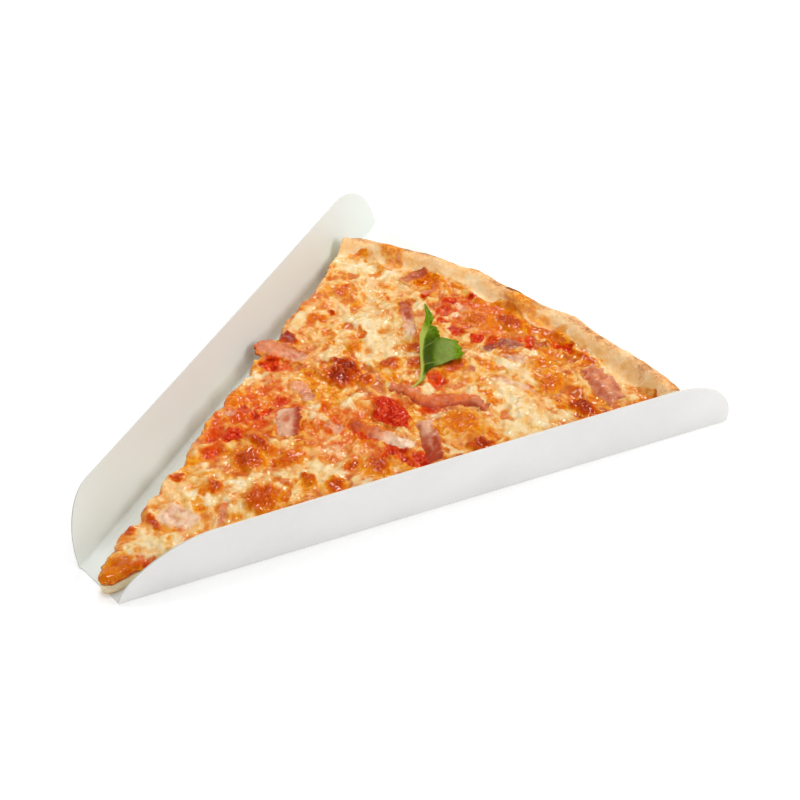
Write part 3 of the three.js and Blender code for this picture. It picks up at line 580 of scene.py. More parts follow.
# Where the sheet baked through to orange, above 0, or stayed creamy, below 0:
# across, from the tip, half sizes, strength.
warm_areas = [
    [4, 6, 9, 8, 1.2], [-7, 27, 7, 3.5, 1], [3, 17, 6, 5, -0.5], [-2, 22, 6, 4, -0.9],
    [7, 26, 5, 4, -0.8], [-3, 42, 12, 8, -0.35], [-15, 74, 13, 14, 0.6], [-2, 68, 12, 8, 0.6],
    [-20, 96, 16, 12, 0.4], [4, 92, 14, 9, 0.1], [13, 50, 6, 10, -0.5], [18, 78, 9, 7, -0.8],
    [17, 101, 18, 6, 0.7], [31, 86, 6, 14, 0.8], [-42, 110, 10, 7, 0.9], [-14, 120, 12, 8, 0.8],
    [2, 124, 12, 7, 0.5], [0, 110, 9, 6, -0.1], [-30, 150, 19, 13, -1], [-14, 138, 10, 7, -0.7],
    [-8, 131, 8, 4, 0.3], [22, 131, 9, 8, 0.8], [38, 128, 12, 9, 0.8], [50, 118, 6, 8, 0.5],
    [52, 144, 14, 8, -1.1], [34, 155, 10, 6, -0.7], [12, 150, 7, 12, 0.7], [26, 164, 9, 5, -0.5],
    [62, 166, 10, 8, 1.1], [45, 168, 7, 8, 0.7], [2, 184, 24, 9, 1], [-12, 172, 9, 9, 0.5],
    [-6, 173, 5, 6, -0.6], [22, 184, 14, 6, 0.7], [38, 181, 8, 7, 0.6], [60, 186, 10, 4, -1],
    [-36, 182, 10, 7, 0.4], [-55, 187, 9, 6, 0.8], [-58, 171, 13, 8, -0.9], [-43, 171, 9, 8, -0.8],
    [-50, 154, 8, 7, 0.6], [-43, 134, 8, 7, 0.4], [-28, 120, 8, 8, 0.1], [-28, 164, 8, 6, 0.8],
    [33, 110, 8, 5, 0.3],
]

strand_count, strand_seed, strand_reach = 620, 5, 195
strand_length, strand_width, strand_height = (5, 13), (0.8, 1.5), (0.4, 1)

# Ham strips: points along the middle, width, thickness, roll in degrees, then amounts of
# white fat, dark lean and orange fat at the two ends, of dark lean along one side, and of
# the sheet that has crept over it. The onion's are the same.
ham_strips = {
    "ham_tip": (
        [[-7.5, 30.5], [0, 33.5], [7.5, 36]],
        8, 1.6, 4, (0.8, 0.7), (0, 0), (0.05, 0), 0, 0.5),
    "ham_sliver": (
        [[5.5, 49], [10, 43.5], [13, 39.5]],
        3, 1.5, -8, (0, 0.1), (0.2, 0.1), (0.6, 0.5), 0.3, 0.1),
    "ham_left_low": (
        [[-27.5, 78.5], [-23.5, 75.5]],
        5, 1.6, 5, (0.1, 0), (0.25, 0.3), (0.1, 0.2), 0.2, 0.3),
    "ham_middle": (
        [[-13, 93], [-7, 87.5], [-0.5, 81.5]],
        9.6, 2, 9, (0.5, 0.3), (0, 0.05), (0.1, 0), 1, 0.1),
    "ham_left_edge": (
        [[-49, 110], [-44, 111], [-37, 113], [-27, 116]],
        8, 2.1, -6, (0.1, 0.25), (0.1, 0), (0.55, 0.3), 0.25, 0.1),
    "ham_oval": (
        [[-23, 105], [-16, 103.5], [-9.5, 101]],
        6, 1.7, 0, (0, 0), (0.15, 0.15), (0.15, 0.15), 0, 0.25),
    "ham_small": (
        [[1, 96.5], [5.5, 97.5], [10, 98.5]],
        5, 1.6, 3, (0.15, 0), (0.1, 0.25), (0.1, 0.15), 0.2, 0.4),
    "ham_low": (
        [[7, 103.5], [15.5, 104.5], [25.5, 106.5], [33.5, 109]],
        5.4, 1.8, 6, (-0.2, 1.3), (0.45, -0.2), (1, -0.2), 0.15, 0.2),
    "ham_ribbon": (
        [[3.5, 125], [10.5, 128.5], [18.5, 128.5], [24.5, 134.5], [30, 140.5], [39, 141]],
        5.8, 2.1, 12, (0.15, 0.05), (0.15, 0.35), (0.7, 0.7), -1, 0.15),
    "ham_right_edge": (
        [[25.5, 120.5], [31.5, 117], [38.5, 112], [43.5, 108]],
        6.8, 2.1, 10, (0.5, 0), (0.1, 1.5), (0.15, 0), -0.5, 0),
    "ham_pale": (
        [[26, 154.5], [35.5, 158], [46.5, 160]],
        3.6, 1.5, 0, (0.7, 0.6), (0, 0), (0.05, 0.3), 0, 0.5),
    "ham_chip": (
        [[16.5, 153], [22, 154]],
        3.4, 1.6, 0, (0, 0), (0.25, 0.3), (0.4, 0.3), 0, 0.3),
    "ham_crust_right": (
        [[48, 182.5], [59, 179.5], [69, 174.8]],
        9, 2.2, 5, (0, 0.05), (0.25, 0.3), (0.4, 0.25), -0.3, 0),
    "ham_crust_left": (
        [[-34.7, 188], [-36.7, 182], [-37.5, 174.5]],
        7, 2.2, 10, (0, 0), (0.7, 0.4), (0.6, 0.4), 0.4, 0),
    "ham_curl": (
        [[-28.5, 185.5], [-25, 180.5], [-28, 175]],
        4, 1.7, 14, (0, 0.2), (0.1, 0), (0.8, 0.6), -0.3, 0.3),
    "ham_fat": (
        [[-29, 166.5], [-23, 163], [-16, 157.5], [-10, 152]],
        5.4, 1.7, -6, (0, 0.85), (1.1, -0.3), (0.4, 0), 0, 0.3),
}
onion_strips = {
    "onion_red": (
        [[13, 164.5], [17.5, 173], [24.5, 178]],
        5.2, 2, 0, (-0.2, 0), (1.1, 0.8), (0, 0.2), 0.3, 0.4),
    "onion_pale": (
        [[20, 166], [25, 170], [31, 172]],
        5.5, 1.5, 0, (0.8, 0.9), (0.1, 0), (0.1, 0.1), 0, 0.55),
}
# Chunks of tomato: middle, half sizes, height, turn in degrees.
tomato_lumps = {
    "tomato_middle": ([15.3, 115.8], [9.6, 6.3], 1.9, -14),
    "tomato_left": ([-17, 71.5], [3.8, 3.2], 1.2, 0),
    "tomato_rear": ([7.5, 169.5], [3, 3.4], 1.2, 10),
}


def distance_to_path(x, y, path):
    best = np.full(np.shape(x), 1e9)
    for (ax, ay), (bx, by) in zip(path, path[1:]):
        dx, dy = bx - ax, by - ay
        f = np.clip(((x - ax) * dx + (y - ay) * dy) / (dx * dx + dy * dy), 0, 1)
        best = np.minimum(best, np.hypot(x - ax - dx * f, y - ay - dy * f))
    return best


def strands(x, y):
    """Height from 0 to 1 of the soft ridges that the melted shreds leave."""
    rng = np.random.default_rng(strand_seed)
    field = np.zeros(np.shape(x))
    for _ in range(strand_count):
        r = strand_reach * math.sqrt(rng.uniform(0.002, 1))
        angle = math.radians(rng.uniform(-cut_left, cut_right))
        heading, bow = rng.uniform(0, math.pi), rng.normal(0, 0.35)
        length, width, height = (rng.uniform(*limits)
                                 for limits in (strand_length, strand_width, strand_height))
        at = np.array([r * math.sin(angle), r * math.cos(angle)])
        path = [at]
        for k in range(3):
            step = heading + bow * (k - 1)
            path.append(path[-1] + length / 3 * np.array([math.cos(step), math.sin(step)]))
        middle = (path[1] + path[2]) / 2
        near = np.flatnonzero((np.abs(x - middle[0]) < length) & (np.abs(y - middle[1]) < length))
        ridge = height * np.exp(-(distance_to_path(x[near], y[near], path) / width) ** 2)
        field[near] = np.maximum(field[near], ridge)
    return field


def trimmed(path, cut):
    """The path with a length cut off both of its ends."""
    path = np.array(path, float)
    for end, beside in ((0, 1), (-1, -2)):
        step = path[beside] - path[end]
        path[end] += step * min(0.9, cut / np.linalg.norm(step))
    return path


def cheese_fields(x, y, hollows=1.0):
    """Height of the cheese, and how brown, tomato-red, fatty, white and warm it is, at points."""
    x, y = np.asarray(x, float), np.asarray(y, float)
    level = mix(cheese["tip_level"], cheese["level"], smoothstep(y, 0, cheese["level_length"]))
    waves = (0.42 * np.sin(x / 3.4 + 1.3 * np.sin(y / 8.3)) * np.cos(y / 4.6 + 0.9 * np.sin(x / 7.1))
             + 0.35 * np.sin((x - 0.6 * y) / 6.3 + 2 * np.sin((x + y) / 19)))
    height = level + waves * smoothstep(y, 2, 30)
    red = spots(x, y, tomato_patches, 1.5, 41)
    fat = spots(x, y, fat_pools, 1.5, 43)
    white = spots(x, y, white_cheese, 2, 45)
    ridge = strands(x, y)
    lumpy = 0.4 * noise(x, y, 2.6, 51) + 0.12 * noise(x, y, 1.1, 52)
    height = height + (relief["shreds"] * ridge + lumpy) * (1 - 0.6 * fat)
    height = height - relief["tomato"] * red - relief["fat"] * fat + relief["white"] * white
    warm = sum(f * np.exp(-((x - cx) / rx) ** 2 - ((y - cy) / ry) ** 2)
               for cx, cy, rx, ry, f in warm_areas)
    brown = np.zeros(x.shape)
    wx, wy = x + 1.1 * noise(x, y, 3.4, 53), y + 1.1 * noise(x, y, 3.4, 54)
    # Painted shade: from 35 mm out from the tip, the sheet is painted warmer and less white along the
    # right cut, where the near wall shades it.
    right_cut = np.hypot(x, y) * np.sin(math.radians(cut_right) - np.arctan2(x, y))
    painted_wall_shade = (1 - smoothstep(right_cut, 1, 6)) * smoothstep(y, 35, 60)
    warm, white = warm + 1.1 * painted_wall_shade, white * (1 - 0.7 * painted_wall_shade)
    for cx, cy, rx, ry, rise, burn in blisters:
        d = np.hypot((wx - cx) / rx, (wy - cy) / ry)
        dome = np.sqrt(np.clip(1 - d ** 2.6, 0, 1))
        height = height + rise * dome * (0.85 + 0.3 * noise(x, y, 1.5, 55))
        brown = np.maximum(brown, burn * (1 - smoothstep(d, 0.3, 1.5)))
    # Each topping lies in a hollow of its own, and the sheet has a low lip along a strip.
    for path, width, *_ in [*ham_strips.values(), *onion_strips.values()]:
        half = width / 2
        d = distance_to_path(x, y, trimmed(path, half))
        bed = relief["strip_bed"] * hollows * (1 - smoothstep(d, half - 1.6, half - 0.2))
        height = height - bed + relief["strip_lip"] * np.exp(-((d - half) / 0.8) ** 2)
    for at, half, _, _ in tomato_lumps.values():
        d = np.hypot((x - at[0]) / half[0], (y - at[1]) / half[1])
        height = height - relief["lump_bed"] * hollows * (1 - smoothstep(d, 0.45, 0.75))
    # Along the rim the sheet thins out over the crust and ends under its surface.
    angle, r = np.degrees(np.arctan2(x, y)), np.hypot(x, y)
    past = r - cheese_radius(angle)
    on_rim = rim_height(angle, np.maximum(crust_radius(angle) - r, 0)) + cheese["over_rim"]
    on_rim = on_rim - 0.5 * np.maximum(past, 0) + 0.7 * noise(x, y, 4, 62)
    height = mix(height, on_rim, smoothstep(past, -4, 0.5))
    warm = np.clip(warm, -1, 1.3)
    return height, dict(brown=brown, red=red, fat=fat, white=white, ridge=ridge, warm=warm)


def cheese_rows():
    """Rows of points from the tip to the rim, close together over the rounded cut edges."""
    reach = float(cheese_radius(np.array(0.0)))
    count = round(reach / cheese["step"])
    rounding = np.array([0, 0.12, 0.35, 0.65, 1.0])
    rows = []
    for f in np.linspace(0, 1, count):
        width = mix(tip_start, reach, f) * math.radians(cut_left + cut_right)
        inner = width - 2 * cheese["edge"]
        if inner > 1:
            middle = cheese["edge"] + np.linspace(0, inner, max(3, round(inner / cheese["step"])))
            share = np.concatenate([rounding, middle, (width - rounding)[::-1]]) / width
        else:
            share = np.linspace(0, 1, 7)
        r = mix(tip_start, cheese_radius(angle_at(share)) + cheese["tuck"], f)
        ragged = 0.5 * noise(r, 0 * r, 1.6, 61)
        pull = (cut_shift(r, right_notches) + ragged) * share ** 6
        pull = pull - (cut_shift(r, left_notches) + ragged) * (1 - share) ** 6
        x, y = on_slice(r, share, pull)
        from_cut = np.minimum(share, 1 - share) * width
        rows.append(np.stack([x, y, r, from_cut], -1))
    return rows


def zip_rows(rows):
    """Triangles between rows of points that have different counts."""
    faces, first = [], 0
    for here, ahead in zip(rows, rows[1:]):
        near, far, second = len(here) - 1, len(ahead) - 1, first + len(here)
        a = b = 0
        while a < near or b < far:
            if b == far or (a < near and (a + 1) / near <= (b + 1) / far):
                faces.append((first + a, first + a + 1, second + b))
                a += 1
            else:
                faces.append((first + a, second + b + 1, second + b))
                b += 1
        first = second
    return faces


rows = cheese_rows()
x, y, r, from_cut = np.concatenate(rows).T
height, fields = cheese_fields(x, y)
drop = 1 - np.clip(from_cut / cheese["edge"], 0, 1)
height = height - cheese["edge_drop"] * (1 - np.sqrt(1 - drop ** 2))
height = height - cheese["tip_drop"] * (1 - smoothstep(r, tip_start, tip_start + 1.5))
height = np.maximum(height, cheese["floor"] + cheese["least"])
faces = zip_rows(rows)

starts = np.cumsum([0] + [len(row) for row in rows])
right_side = [starts[i + 1] - 1 for i in range(1, len(rows) - 1)]
left_side = [starts[i] for i in range(len(rows) - 2, 0, -1)]
last_row = range(starts[-1] - 1, starts[-2] - 1, -1)
loop = np.array([*range(len(rows[0])), *right_side, *last_row, *left_side])
points = [np.stack([x, y, height], -1)]
brim = points[0][loop]
heading = np.roll(brim, -1, 0) - np.roll(brim, 1, 0)
outward = np.stack([heading[:, 1], -heading[:, 0], 0 * heading[:, 0]], -1)
outward /= np.linalg.norm(outward, axis=1, keepdims=True) + 1e-9
rings, skirt = [loop], 6
for k in range(1, skirt + 1):
    down = k / skirt
    ring = brim.copy()
    ring[:, 2] = mix(brim[:, 2], cheese["floor"], down)
    ragged = noise(brim[:, 0] + brim[:, 1], ring[:, 2] * 2, 2.2, 63)
    bulge = 0.45 * math.sin(math.pi * down) + 0.4 * down * ragged
    ring += outward * bulge[:, None]
    rings.append(sum(len(p) for p in points) + np.arange(len(loop)))
    points.append(ring)
side = np.array([np.append(ring, ring[0]) for ring in rings])
floor_loop = [Vector((*points[-1][i, :2], 0)) for i in range(len(loop))]
floor = np.array(tessellate_polygon([floor_loop])) + rings[-1][0]
triangles = np.concatenate([np.array(faces), grid_triangles(side), floor])
points = np.concatenate(points)
attributes = {key: np.concatenate([value, np.tile(value[loop], skirt)]) for key, value in fields.items()}

# Melted mozzarella: a soft, slightly see-through body that light enters for a millimetre
# or two, with an oily shine. It colours from cream through gold to red brown as it bakes,
# and turns orange where tomato and fat have mixed into it.


def cheese_colour(tree, place):
    """The colour of the sheet, from the piece's attributes, with its fine grain and its clouds."""
    brown, red, fat, white, ridge, warm = (
        add(tree, "ShaderNodeAttribute", attribute_name=key).outputs["Fac"]
        for key in ("brown", "red", "fat", "white", "ridge", "warm"))
    cloud, drift, grain, fleck = (
        add(tree, "ShaderNodeTexNoise",
            {"Vector": place, "Scale": 1 / (size * MM), "Detail": detail, "Roughness": 0.6})
        for size, detail in ((5, 3), (11, 2), (1.5, 3), (2.1, 2)))

    def total(start, *parts):
        """Adds weighted amounts to a start."""
        for part, weight in parts:
            start = add(tree, "ShaderNodeMath", {"Value": part, "Value_001": weight, "Value_002": start},
                        operation="MULTIPLY_ADD")
        return start

    def mask(amount, rough, low, high, most=1):
        """Where an amount is high, with its border broken up by the fine grain."""
        low, high = low + rough / 2, high + rough / 2
        return add(tree, "ShaderNodeMapRange",
                   {"Value": total(amount, (grain, rough)), "From Min": low, "From Max": high,
                    "To Max": most}, interpolation_type="SMOOTHSTEP")

    # From deep orange, where the sheet is thin and baked, to cream on the crests of the shreds.
    sheet = total(-0.7, (ridge, 0.3), (cloud, 1.8), (grain, 0.28))
    colour = add(tree, "ShaderNodeValToRGB", {"Fac": total(sheet, (warm, -0.28))},
                 stops=[(0.05, "#a43402"), (0.2, "#c45204"), (0.36, "#de8418"), (0.5, "#e6a244"),
                        (0.64, "#eabc74"), (0.9, "#eed09a")])
    # Fat and tomato lie in the hollows between the shreds, so their amounts fall on the crests.
    sunk_fat, sunk_red = (total(0.3, (sheet, -0.6), (amount, 1)) for amount in (fat, red))
    cream = add(tree, "ShaderNodeValToRGB", {"Fac": cloud},
                stops=[(0.34, "#e8bc68"), (0.5, "#ecd098"), (0.66, "#f0dcb8")])
    orange = add(tree, "ShaderNodeValToRGB", {"Fac": total(-0.1, (fat, 0.5), (grain, 0.9))},
                 stops=[(0.36, "#ecbe3c"), (0.5, "#eaa21a"), (0.68, "#dc7600"), (0.86, "#c85400")])
    scarlet = add(tree, "ShaderNodeValToRGB", {"Fac": fleck},
                  stops=[(0.36, "#a41200"), (0.5, "#c62200"), (0.68, "#e2500e")])
    baked = add(tree, "ShaderNodeValToRGB", {"Fac": total(-0.3, (brown, 1), (grain, 0.6))},
                stops=[(0.1, "#eaa41c"), (0.28, "#de7808"), (0.5, "#c84e02"), (0.7, "#b03600"),
                       (0.88, "#982602"), (1, "#7e1c06")])
    pink = add(tree, "ShaderNodeMapRange",
               {"Value": drift, "From Min": 0.42, "From Max": 0.68, "To Max": 0.4})
    # Pale cream flecks on the crests, away from brown, red and fat: partly the tops of shreds, partly
    # painted highlight.
    cream_and_painted_glint = total(-0.1, (fleck, 1), (ridge, 0.16), (brown, -0.25), (red, -0.4), (fat, -0.15))
    for factor, tint in ((pink, srgb("#e09c6c")),
                         (mask(white, 0.2, 0, 0.6, 0.94), cream),
                         (mask(sunk_fat, 0.25, 0.05, 0.65, 0.9), orange),
                         (mask(sunk_red, 0.25, 0, 0.55, 0.85), srgb("#da5000")),
                         (mask(sunk_red, 0.3, 0.3, 0.95, 0.92), scarlet),
                         (mask(brown, 0.25, 0.05, 0.4), baked),
                         (mask(cream_and_painted_glint, 0.1, 0.46, 0.74, 0.5), srgb("#eec084"))):
        colour = add(tree, "ShaderNodeMix", {"Factor": factor, "A": colour, "B": tint}, data_type="RGBA")
    return colour, grain, cloud


def wet_shader(tree, colour, grain, rough, coat, weight=0.15):
    """Finishes a material of soft wet food, with fine relief under a film of oil."""
    bump = add(tree, "ShaderNodeBump", {"Height": grain, "Strength": 0.38, "Distance": 0.4 * MM})
    shader = add(tree, "ShaderNodeBsdfPrincipled",
                 {"Base Color": colour, "Roughness": rough, "IOR": 1.45, "Normal": bump,
                  "Specular IOR Level": 0.2, "Specular Tint": srgb("#ff9c60"),
                  "Coat Weight": coat, "Coat Roughness": 0.13, "Subsurface Weight": weight,
                  "Subsurface Radius": (1, 0.5, 0.25), "Subsurface Scale": 1 * MM})
    add(tree, "ShaderNodeOutputMaterial", {"Surface": shader})


melted, tree, place = new_material("melted_mozzarella")
colour, grain, cloud = cheese_colour(tree, place)
wet = add(tree, "ShaderNodeMapRange",
          {"Value": cloud, "From Min": 0.35, "From Max": 0.65, "To Min": 0.25, "To Max": 0.5})
burnt = add(tree, "ShaderNodeAttribute", attribute_name="brown").outputs["Fac"]
film = add(tree, "ShaderNodeMapRange", {"Value": burnt, "From Max": 0.8, "To Min": 0.4, "To Max": 0.8})
wet_shader(tree, colour, grain, wet, film)

cheese_sheet = make_piece("melted_cheese_sheet", to_tray(points), triangles, melted, **attributes)
place_piece(cheese_sheet, "melted_cheese", "cheese")

# Beads of oil stand on the sheet, most of them on the greasy patches and on the blisters.
# They are so shallow that they take the colour of what lies under them.
bead_oil, tree, place = new_material("hot_oil_beads")
colour, grain, cloud = cheese_colour(tree, place)
shader = add(tree, "ShaderNodeBsdfPrincipled",
             {"Base Color": colour, "Roughness": 0.3, "IOR": 1.47, "Specular IOR Level": 0.4,
              "Specular Tint": srgb("#ffb88c"), "Coat Weight": 0.6, "Coat Roughness": 0.08})
add(tree, "ShaderNodeOutputMaterial", {"Surface": shader})

beads = bpy.data.node_groups.new("scatter_oil_beads", "GeometryNodeTree")
sockets = {}
for name, kind in (("Sheet", "Geometry"), ("Beads per square metre", "Float"),
                   ("Bead radius", "Float"), ("Seed", "Int")):
    socket = beads.interface.new_socket(name, in_out="INPUT", socket_type="NodeSocket" + kind)
    sockets[name] = socket.identifier
beads.interface.new_socket("Beads", in_out="OUTPUT", socket_type="NodeSocketGeometry")
given = add(beads, "NodeGroupInput").outputs
greasy, burnt = (
    add(beads, "GeometryNodeInputNamedAttribute", {"Name": key}, data_type="FLOAT")
    for key in ("fat", "brown"))
facing = add(beads, "ShaderNodeSeparateXYZ", {"Vector": add(beads, "GeometryNodeInputNormal")})
upward = facing.outputs["Z"]
level = add(beads, "ShaderNodeMapRange", {"Value": upward, "From Min": 0.7, "From Max": 0.9})
base_share = 0.12                      # of the beads, where there is neither fat nor browning
wanted = base_share
for amount, weight in ((greasy, 1.6), (burnt, 1.2)):
    wanted = add(beads, "ShaderNodeMath", {"Value": amount, "Value_001": weight, "Value_002": wanted},
                 operation="MULTIPLY_ADD")
density = wanted
for factor in (level, given["Beads per square metre"]):
    density = add(beads, "ShaderNodeMath", {"Value": density, "Value_001": factor}, operation="MULTIPLY")
scattered = add(beads, "GeometryNodeDistributePointsOnFaces",
                {"Mesh": given["Sheet"], "Density": density, "Seed": given["Seed"]})
ball = add(beads, "GeometryNodeMeshUVSphere", {"Segments": 8, "Rings": 5, "Radius": given["Bead radius"]})
size = add(beads, "FunctionNodeRandomValue", {"Min": 0.4, "Max": 1.3, "Seed": given["Seed"]},
           data_type="FLOAT")
flat = add(beads, "ShaderNodeMath", {"Value": size, "Value_001": 0.55}, operation="MULTIPLY")
shape = add(beads, "ShaderNodeCombineXYZ", {"X": size, "Y": size, "Z": flat})
placed = add(beads, "GeometryNodeInstanceOnPoints",
             {"Points": scattered.outputs["Points"], "Instance": ball.outputs["Mesh"],
              "Rotation": scattered.outputs["Rotation"], "Scale": shape})
solid = add(beads, "GeometryNodeRealizeInstances", {"Geometry": placed})
smooth = add(beads, "GeometryNodeSetShadeSmooth", {"Geometry": solid})
oiled = add(beads, "GeometryNodeSetMaterial", {"Geometry": smooth, "Material": bead_oil})
add(beads, "NodeGroupOutput", {"Beads": oiled})

bed = cheese_sheet.copy()
bed.name = "bead_bed"
bpy.context.scene.collection.objects.link(bed)
scatter = bed.modifiers.new("scatter", "NODES")
scatter.node_group = beads
bead_settings = {"Beads per square metre": 40000.0, "Bead radius": 0.5 * MM, "Seed": 7}
for name, value in bead_settings.items():
    scatter[sockets[name]] = value
result = bpy.data.meshes.new_from_object(bed.evaluated_get(bpy.context.evaluated_depsgraph_get()))
bpy.data.objects.remove(bed)
oil_beads = bpy.data.objects.new("oil_beads", result)
bpy.context.scene.collection.objects.link(oil_beads)
place_piece(oil_beads, "melted_cheese")

# ---------- Ham ----------
# Cooked ham cut in strips about 2 mm thick, laid on before baking. It has shrunk, curled and
# sunk into the cheese: pink lean with white fat, darker where its edges dried.


def smooth_path(path, step):
    """Points and headings every step along a smooth curve through the given points."""
    knots = np.array(path, float)
    ends = np.concatenate([[2 * knots[0] - knots[1]], knots, [2 * knots[-1] - knots[-2]]])
    dense = []
    for a, b, c, d in zip(ends, ends[1:], ends[2:], ends[3:]):
        t = np.linspace(0, 1, 40, endpoint=False)[:, None]
        square, cube = 2 * a - 5 * b + 4 * c - d, 3 * b - a - 3 * c + d
        dense.append(0.5 * (2 * b + (c - a) * t + square * t ** 2 + cube * t ** 3))
    dense = np.concatenate(dense + [knots[-1:]])
    far = np.concatenate([[0], np.cumsum(np.linalg.norm(np.diff(dense, axis=0), axis=1))])
    at = np.linspace(0, far[-1], max(6, round(far[-1] / step)))
    line = np.stack([np.interp(at, far, dense[:, k]) for k in (0, 1)], -1)
    heading = np.gradient(line, axis=0)
    return line, heading / np.linalg.norm(heading, axis=1, keepdims=True), at


strip_step, strip_sides, strip_buried, blunt_end = 0.45, 32, 0.75, 1.6


def lay_strip(name, strip, material, seed):
    """A limp strip sunk in the cheese: flat closed sections along its path, their edges buried."""
    path, width, thick, roll, fat_ends, dark_ends, oil_ends, side, film = strip
    line, heading, far = smooth_path(path, strip_step)
    length = far[-1]
    end = np.minimum(far, length - far)
    # The last section at each end is drawn in, so that the cut ends are blunt and ragged.
    close = np.sqrt(1 - (1 - np.clip(end / blunt_end, 0, 1)) ** 2)
    half = width / 1.55 * (0.72 + 0.28 * smoothstep(end, 0, 0.3 * length))
    half = half * (1 + 0.22 * noise(far, 0 * far, 3.5, seed))
    around = np.linspace(0, 2 * math.pi, strip_sides + 1)[:-1]
    c, s = np.cos(around)[None], np.sin(around)[None]
    across = np.sign(c) * np.abs(c) ** 0.9
    edge = 0.15 * width * noise(far, 9 * np.sign(c[0, :1]) + 0 * far, 1.8, seed + 1)[:, None]
    out = (half[:, None] * across + edge * np.abs(across) * np.sign(across)) * close[:, None]
    x = line[:, :1] - heading[:, 1:] * out
    y = line[:, 1:] + heading[:, :1] * out
    rest, under = cheese_fields(x.ravel(), y.ravel(), 0)
    rest = rest.reshape(x.shape)
    middle = rest.mean(1, keepdims=True)
    kernel = np.hanning(min(13, len(far) | 1) + 2)[1:-1]
    padded = np.pad(middle[:, 0], len(kernel) // 2, mode="edge")
    middle = np.convolve(padded, kernel / kernel.sum(), mode="valid")[:len(far), None]
    along = far[:, None] + 0 * across
    lean = math.tan(math.radians(roll)) * out
    wave = 0.12 * np.sin(along * 0.6 + seed) * np.abs(across) + 0.25 * noise(along, out, 3.2, seed + 2)
    fibre = 0.12 * noise(along / 7, out, 0.8, seed + 3)
    crown = np.maximum(s, 0) ** 0.95 * close[:, None]
    foot = np.maximum(-s, 0) ** 0.75 * close[:, None]
    z = mix(middle, rest, 0.65) + lean + wave
    z = z + mix(-strip_buried, thick - 1.35, crown) - (thick - 0.9) * foot
    z = z + fibre * (s > 0)
    ids = np.arange(x.size).reshape(x.shape)
    ring = np.concatenate([ids, ids[:, :1]], 1)
    caps = [[row[0], row[k], row[k + 1]]
            for row in (ids[0], ids[-1][::-1]) for k in range(1, len(row) - 1)]
    triangles = np.concatenate([grid_triangles(ring), np.array(caps)])
    share = along / length
    blotch = 0.4 * noise(along / 2, out, 1.8, seed + 4)
    bent = 0.5 - 0.5 * np.cos(math.pi * share)
    streak = 0.3 * np.maximum(noise(along / 6, out, 0.9, seed + 5), 0)
    flank = abs(side) * smoothstep(across * np.sign(side or 1), 0.05, 0.6)
    cover = smoothstep((0.88 - np.abs(across)) * half[:, None], 0, 1.3) * smoothstep(end, 0.4, 2)[:, None]
    fields = dict(lard=mix(*fat_ends, bent) + 1.4 * blotch + streak, flank=flank,
                  dark=mix(*dark_ends, bent) - 1.2 * blotch, oily=mix(*oil_ends, bent) + blotch,
                  cover=cover * (1 - film))
    points = to_tray(np.stack([x, y, z], -1).reshape(-1, 3))
    clipped = {key: np.clip(value + 0 * along, 0, 1) for key, value in fields.items()}
    return make_piece(name, points, triangles, material, **clipped, **under)


def strip_material(name, lean, fatty, dried, stained, clear):
    """Flesh in strips: its dark and light colour, its fat, its dried and oily parts, how clear."""
    material, tree, place = new_material(name)
    melt, grain, _ = cheese_colour(tree, place)
    fibre, film = (
        add(tree, "ShaderNodeTexNoise",
            {"Vector": place, "Scale": 1 / (size * MM), "Detail": detail, "Roughness": 0.6})
        for size, detail in ((1.2, 4), (3, 3)))
    flesh = add(tree, "ShaderNodeValToRGB", {"Fac": film}, stops=list(zip((0.38, 0.62), lean)))
    for key, tint, rough in (("lard", fatty, 0.5), ("oily", stained, 0.4),
                             ("flank", dried, 0.3), ("dark", dried, 0.3)):
        amount = add(tree, "ShaderNodeAttribute", attribute_name=key).outputs["Fac"]
        broken = add(tree, "ShaderNodeMath", {"Value": fibre, "Value_001": rough, "Value_002": amount},
                     operation="MULTIPLY_ADD")
        share = add(tree, "ShaderNodeMapRange",
                    {"Value": broken, "From Min": rough / 2, "From Max": 1 + rough / 2})
        flesh = add(tree, "ShaderNodeMix", {"Factor": share, "A": flesh, "B": srgb(tint)},
                    data_type="RGBA")
    # The melted sheet has crept over the edges in a ragged film, so the flesh shows in the middle.
    bare = add(tree, "ShaderNodeAttribute", attribute_name="cover").outputs["Fac"]
    for layer, weight in ((fibre, 1.0), (film, 1.6)):
        bare = add(tree, "ShaderNodeMath", {"Value": layer, "Value_001": weight, "Value_002": bare},
                   operation="MULTIPLY_ADD")
    bare = add(tree, "ShaderNodeMapRange",
               {"Value": bare, "From Min": 1.4, "From Max": 1.95, "To Max": 0.92},
               interpolation_type="SMOOTHSTEP")
    colour = add(tree, "ShaderNodeMix", {"Factor": bare, "A": melt, "B": flesh}, data_type="RGBA")
    wet_shader(tree, colour, grain, 0.4, 0.12, clear)
    return material


# Cooked cured ham: moist and a little see-through, so its pink is soft at the edges.
ham_meat = strip_material("cooked_ham", ("#cc7450", "#e4ae8a"), "#eed6b8", "#a23420", "#d8641a", 0.2)
pale_names = ("ham_tip", "ham_pale", "ham_fat")
for seed, (name, strip) in enumerate(ham_strips.items()):
    piece = lay_strip(name + "_strip", strip, ham_meat, 100 + 10 * seed)
    place_piece(piece, "pale_ham" if name in pale_names else "ham", name)

# ---------- Red onion ----------
# Two thin arcs cut from a raw red onion and laid on before baking. They went soft and
# sank in with the ham, and the sheet crept over their edges.

# Baked onion: watery, glossy, nearly clear; only its skin holds the purple.
onion_flesh = strip_material("baked_red_onion", ("#b8706a", "#d8a488"),
                             "#e4ccac", "#8a3634", "#d88c50", 0.3)
for seed, (name, strip) in enumerate(onion_strips.items()):
    piece = lay_strip(name + "_strip", strip, onion_flesh, 300 + 10 * seed)
    place_piece(piece, "red_onion", name)

# ---------- Tomato ----------
# Peeled tomato torn into chunks. They kept their juice, so they stay the reddest and
# wettest things on the slice.

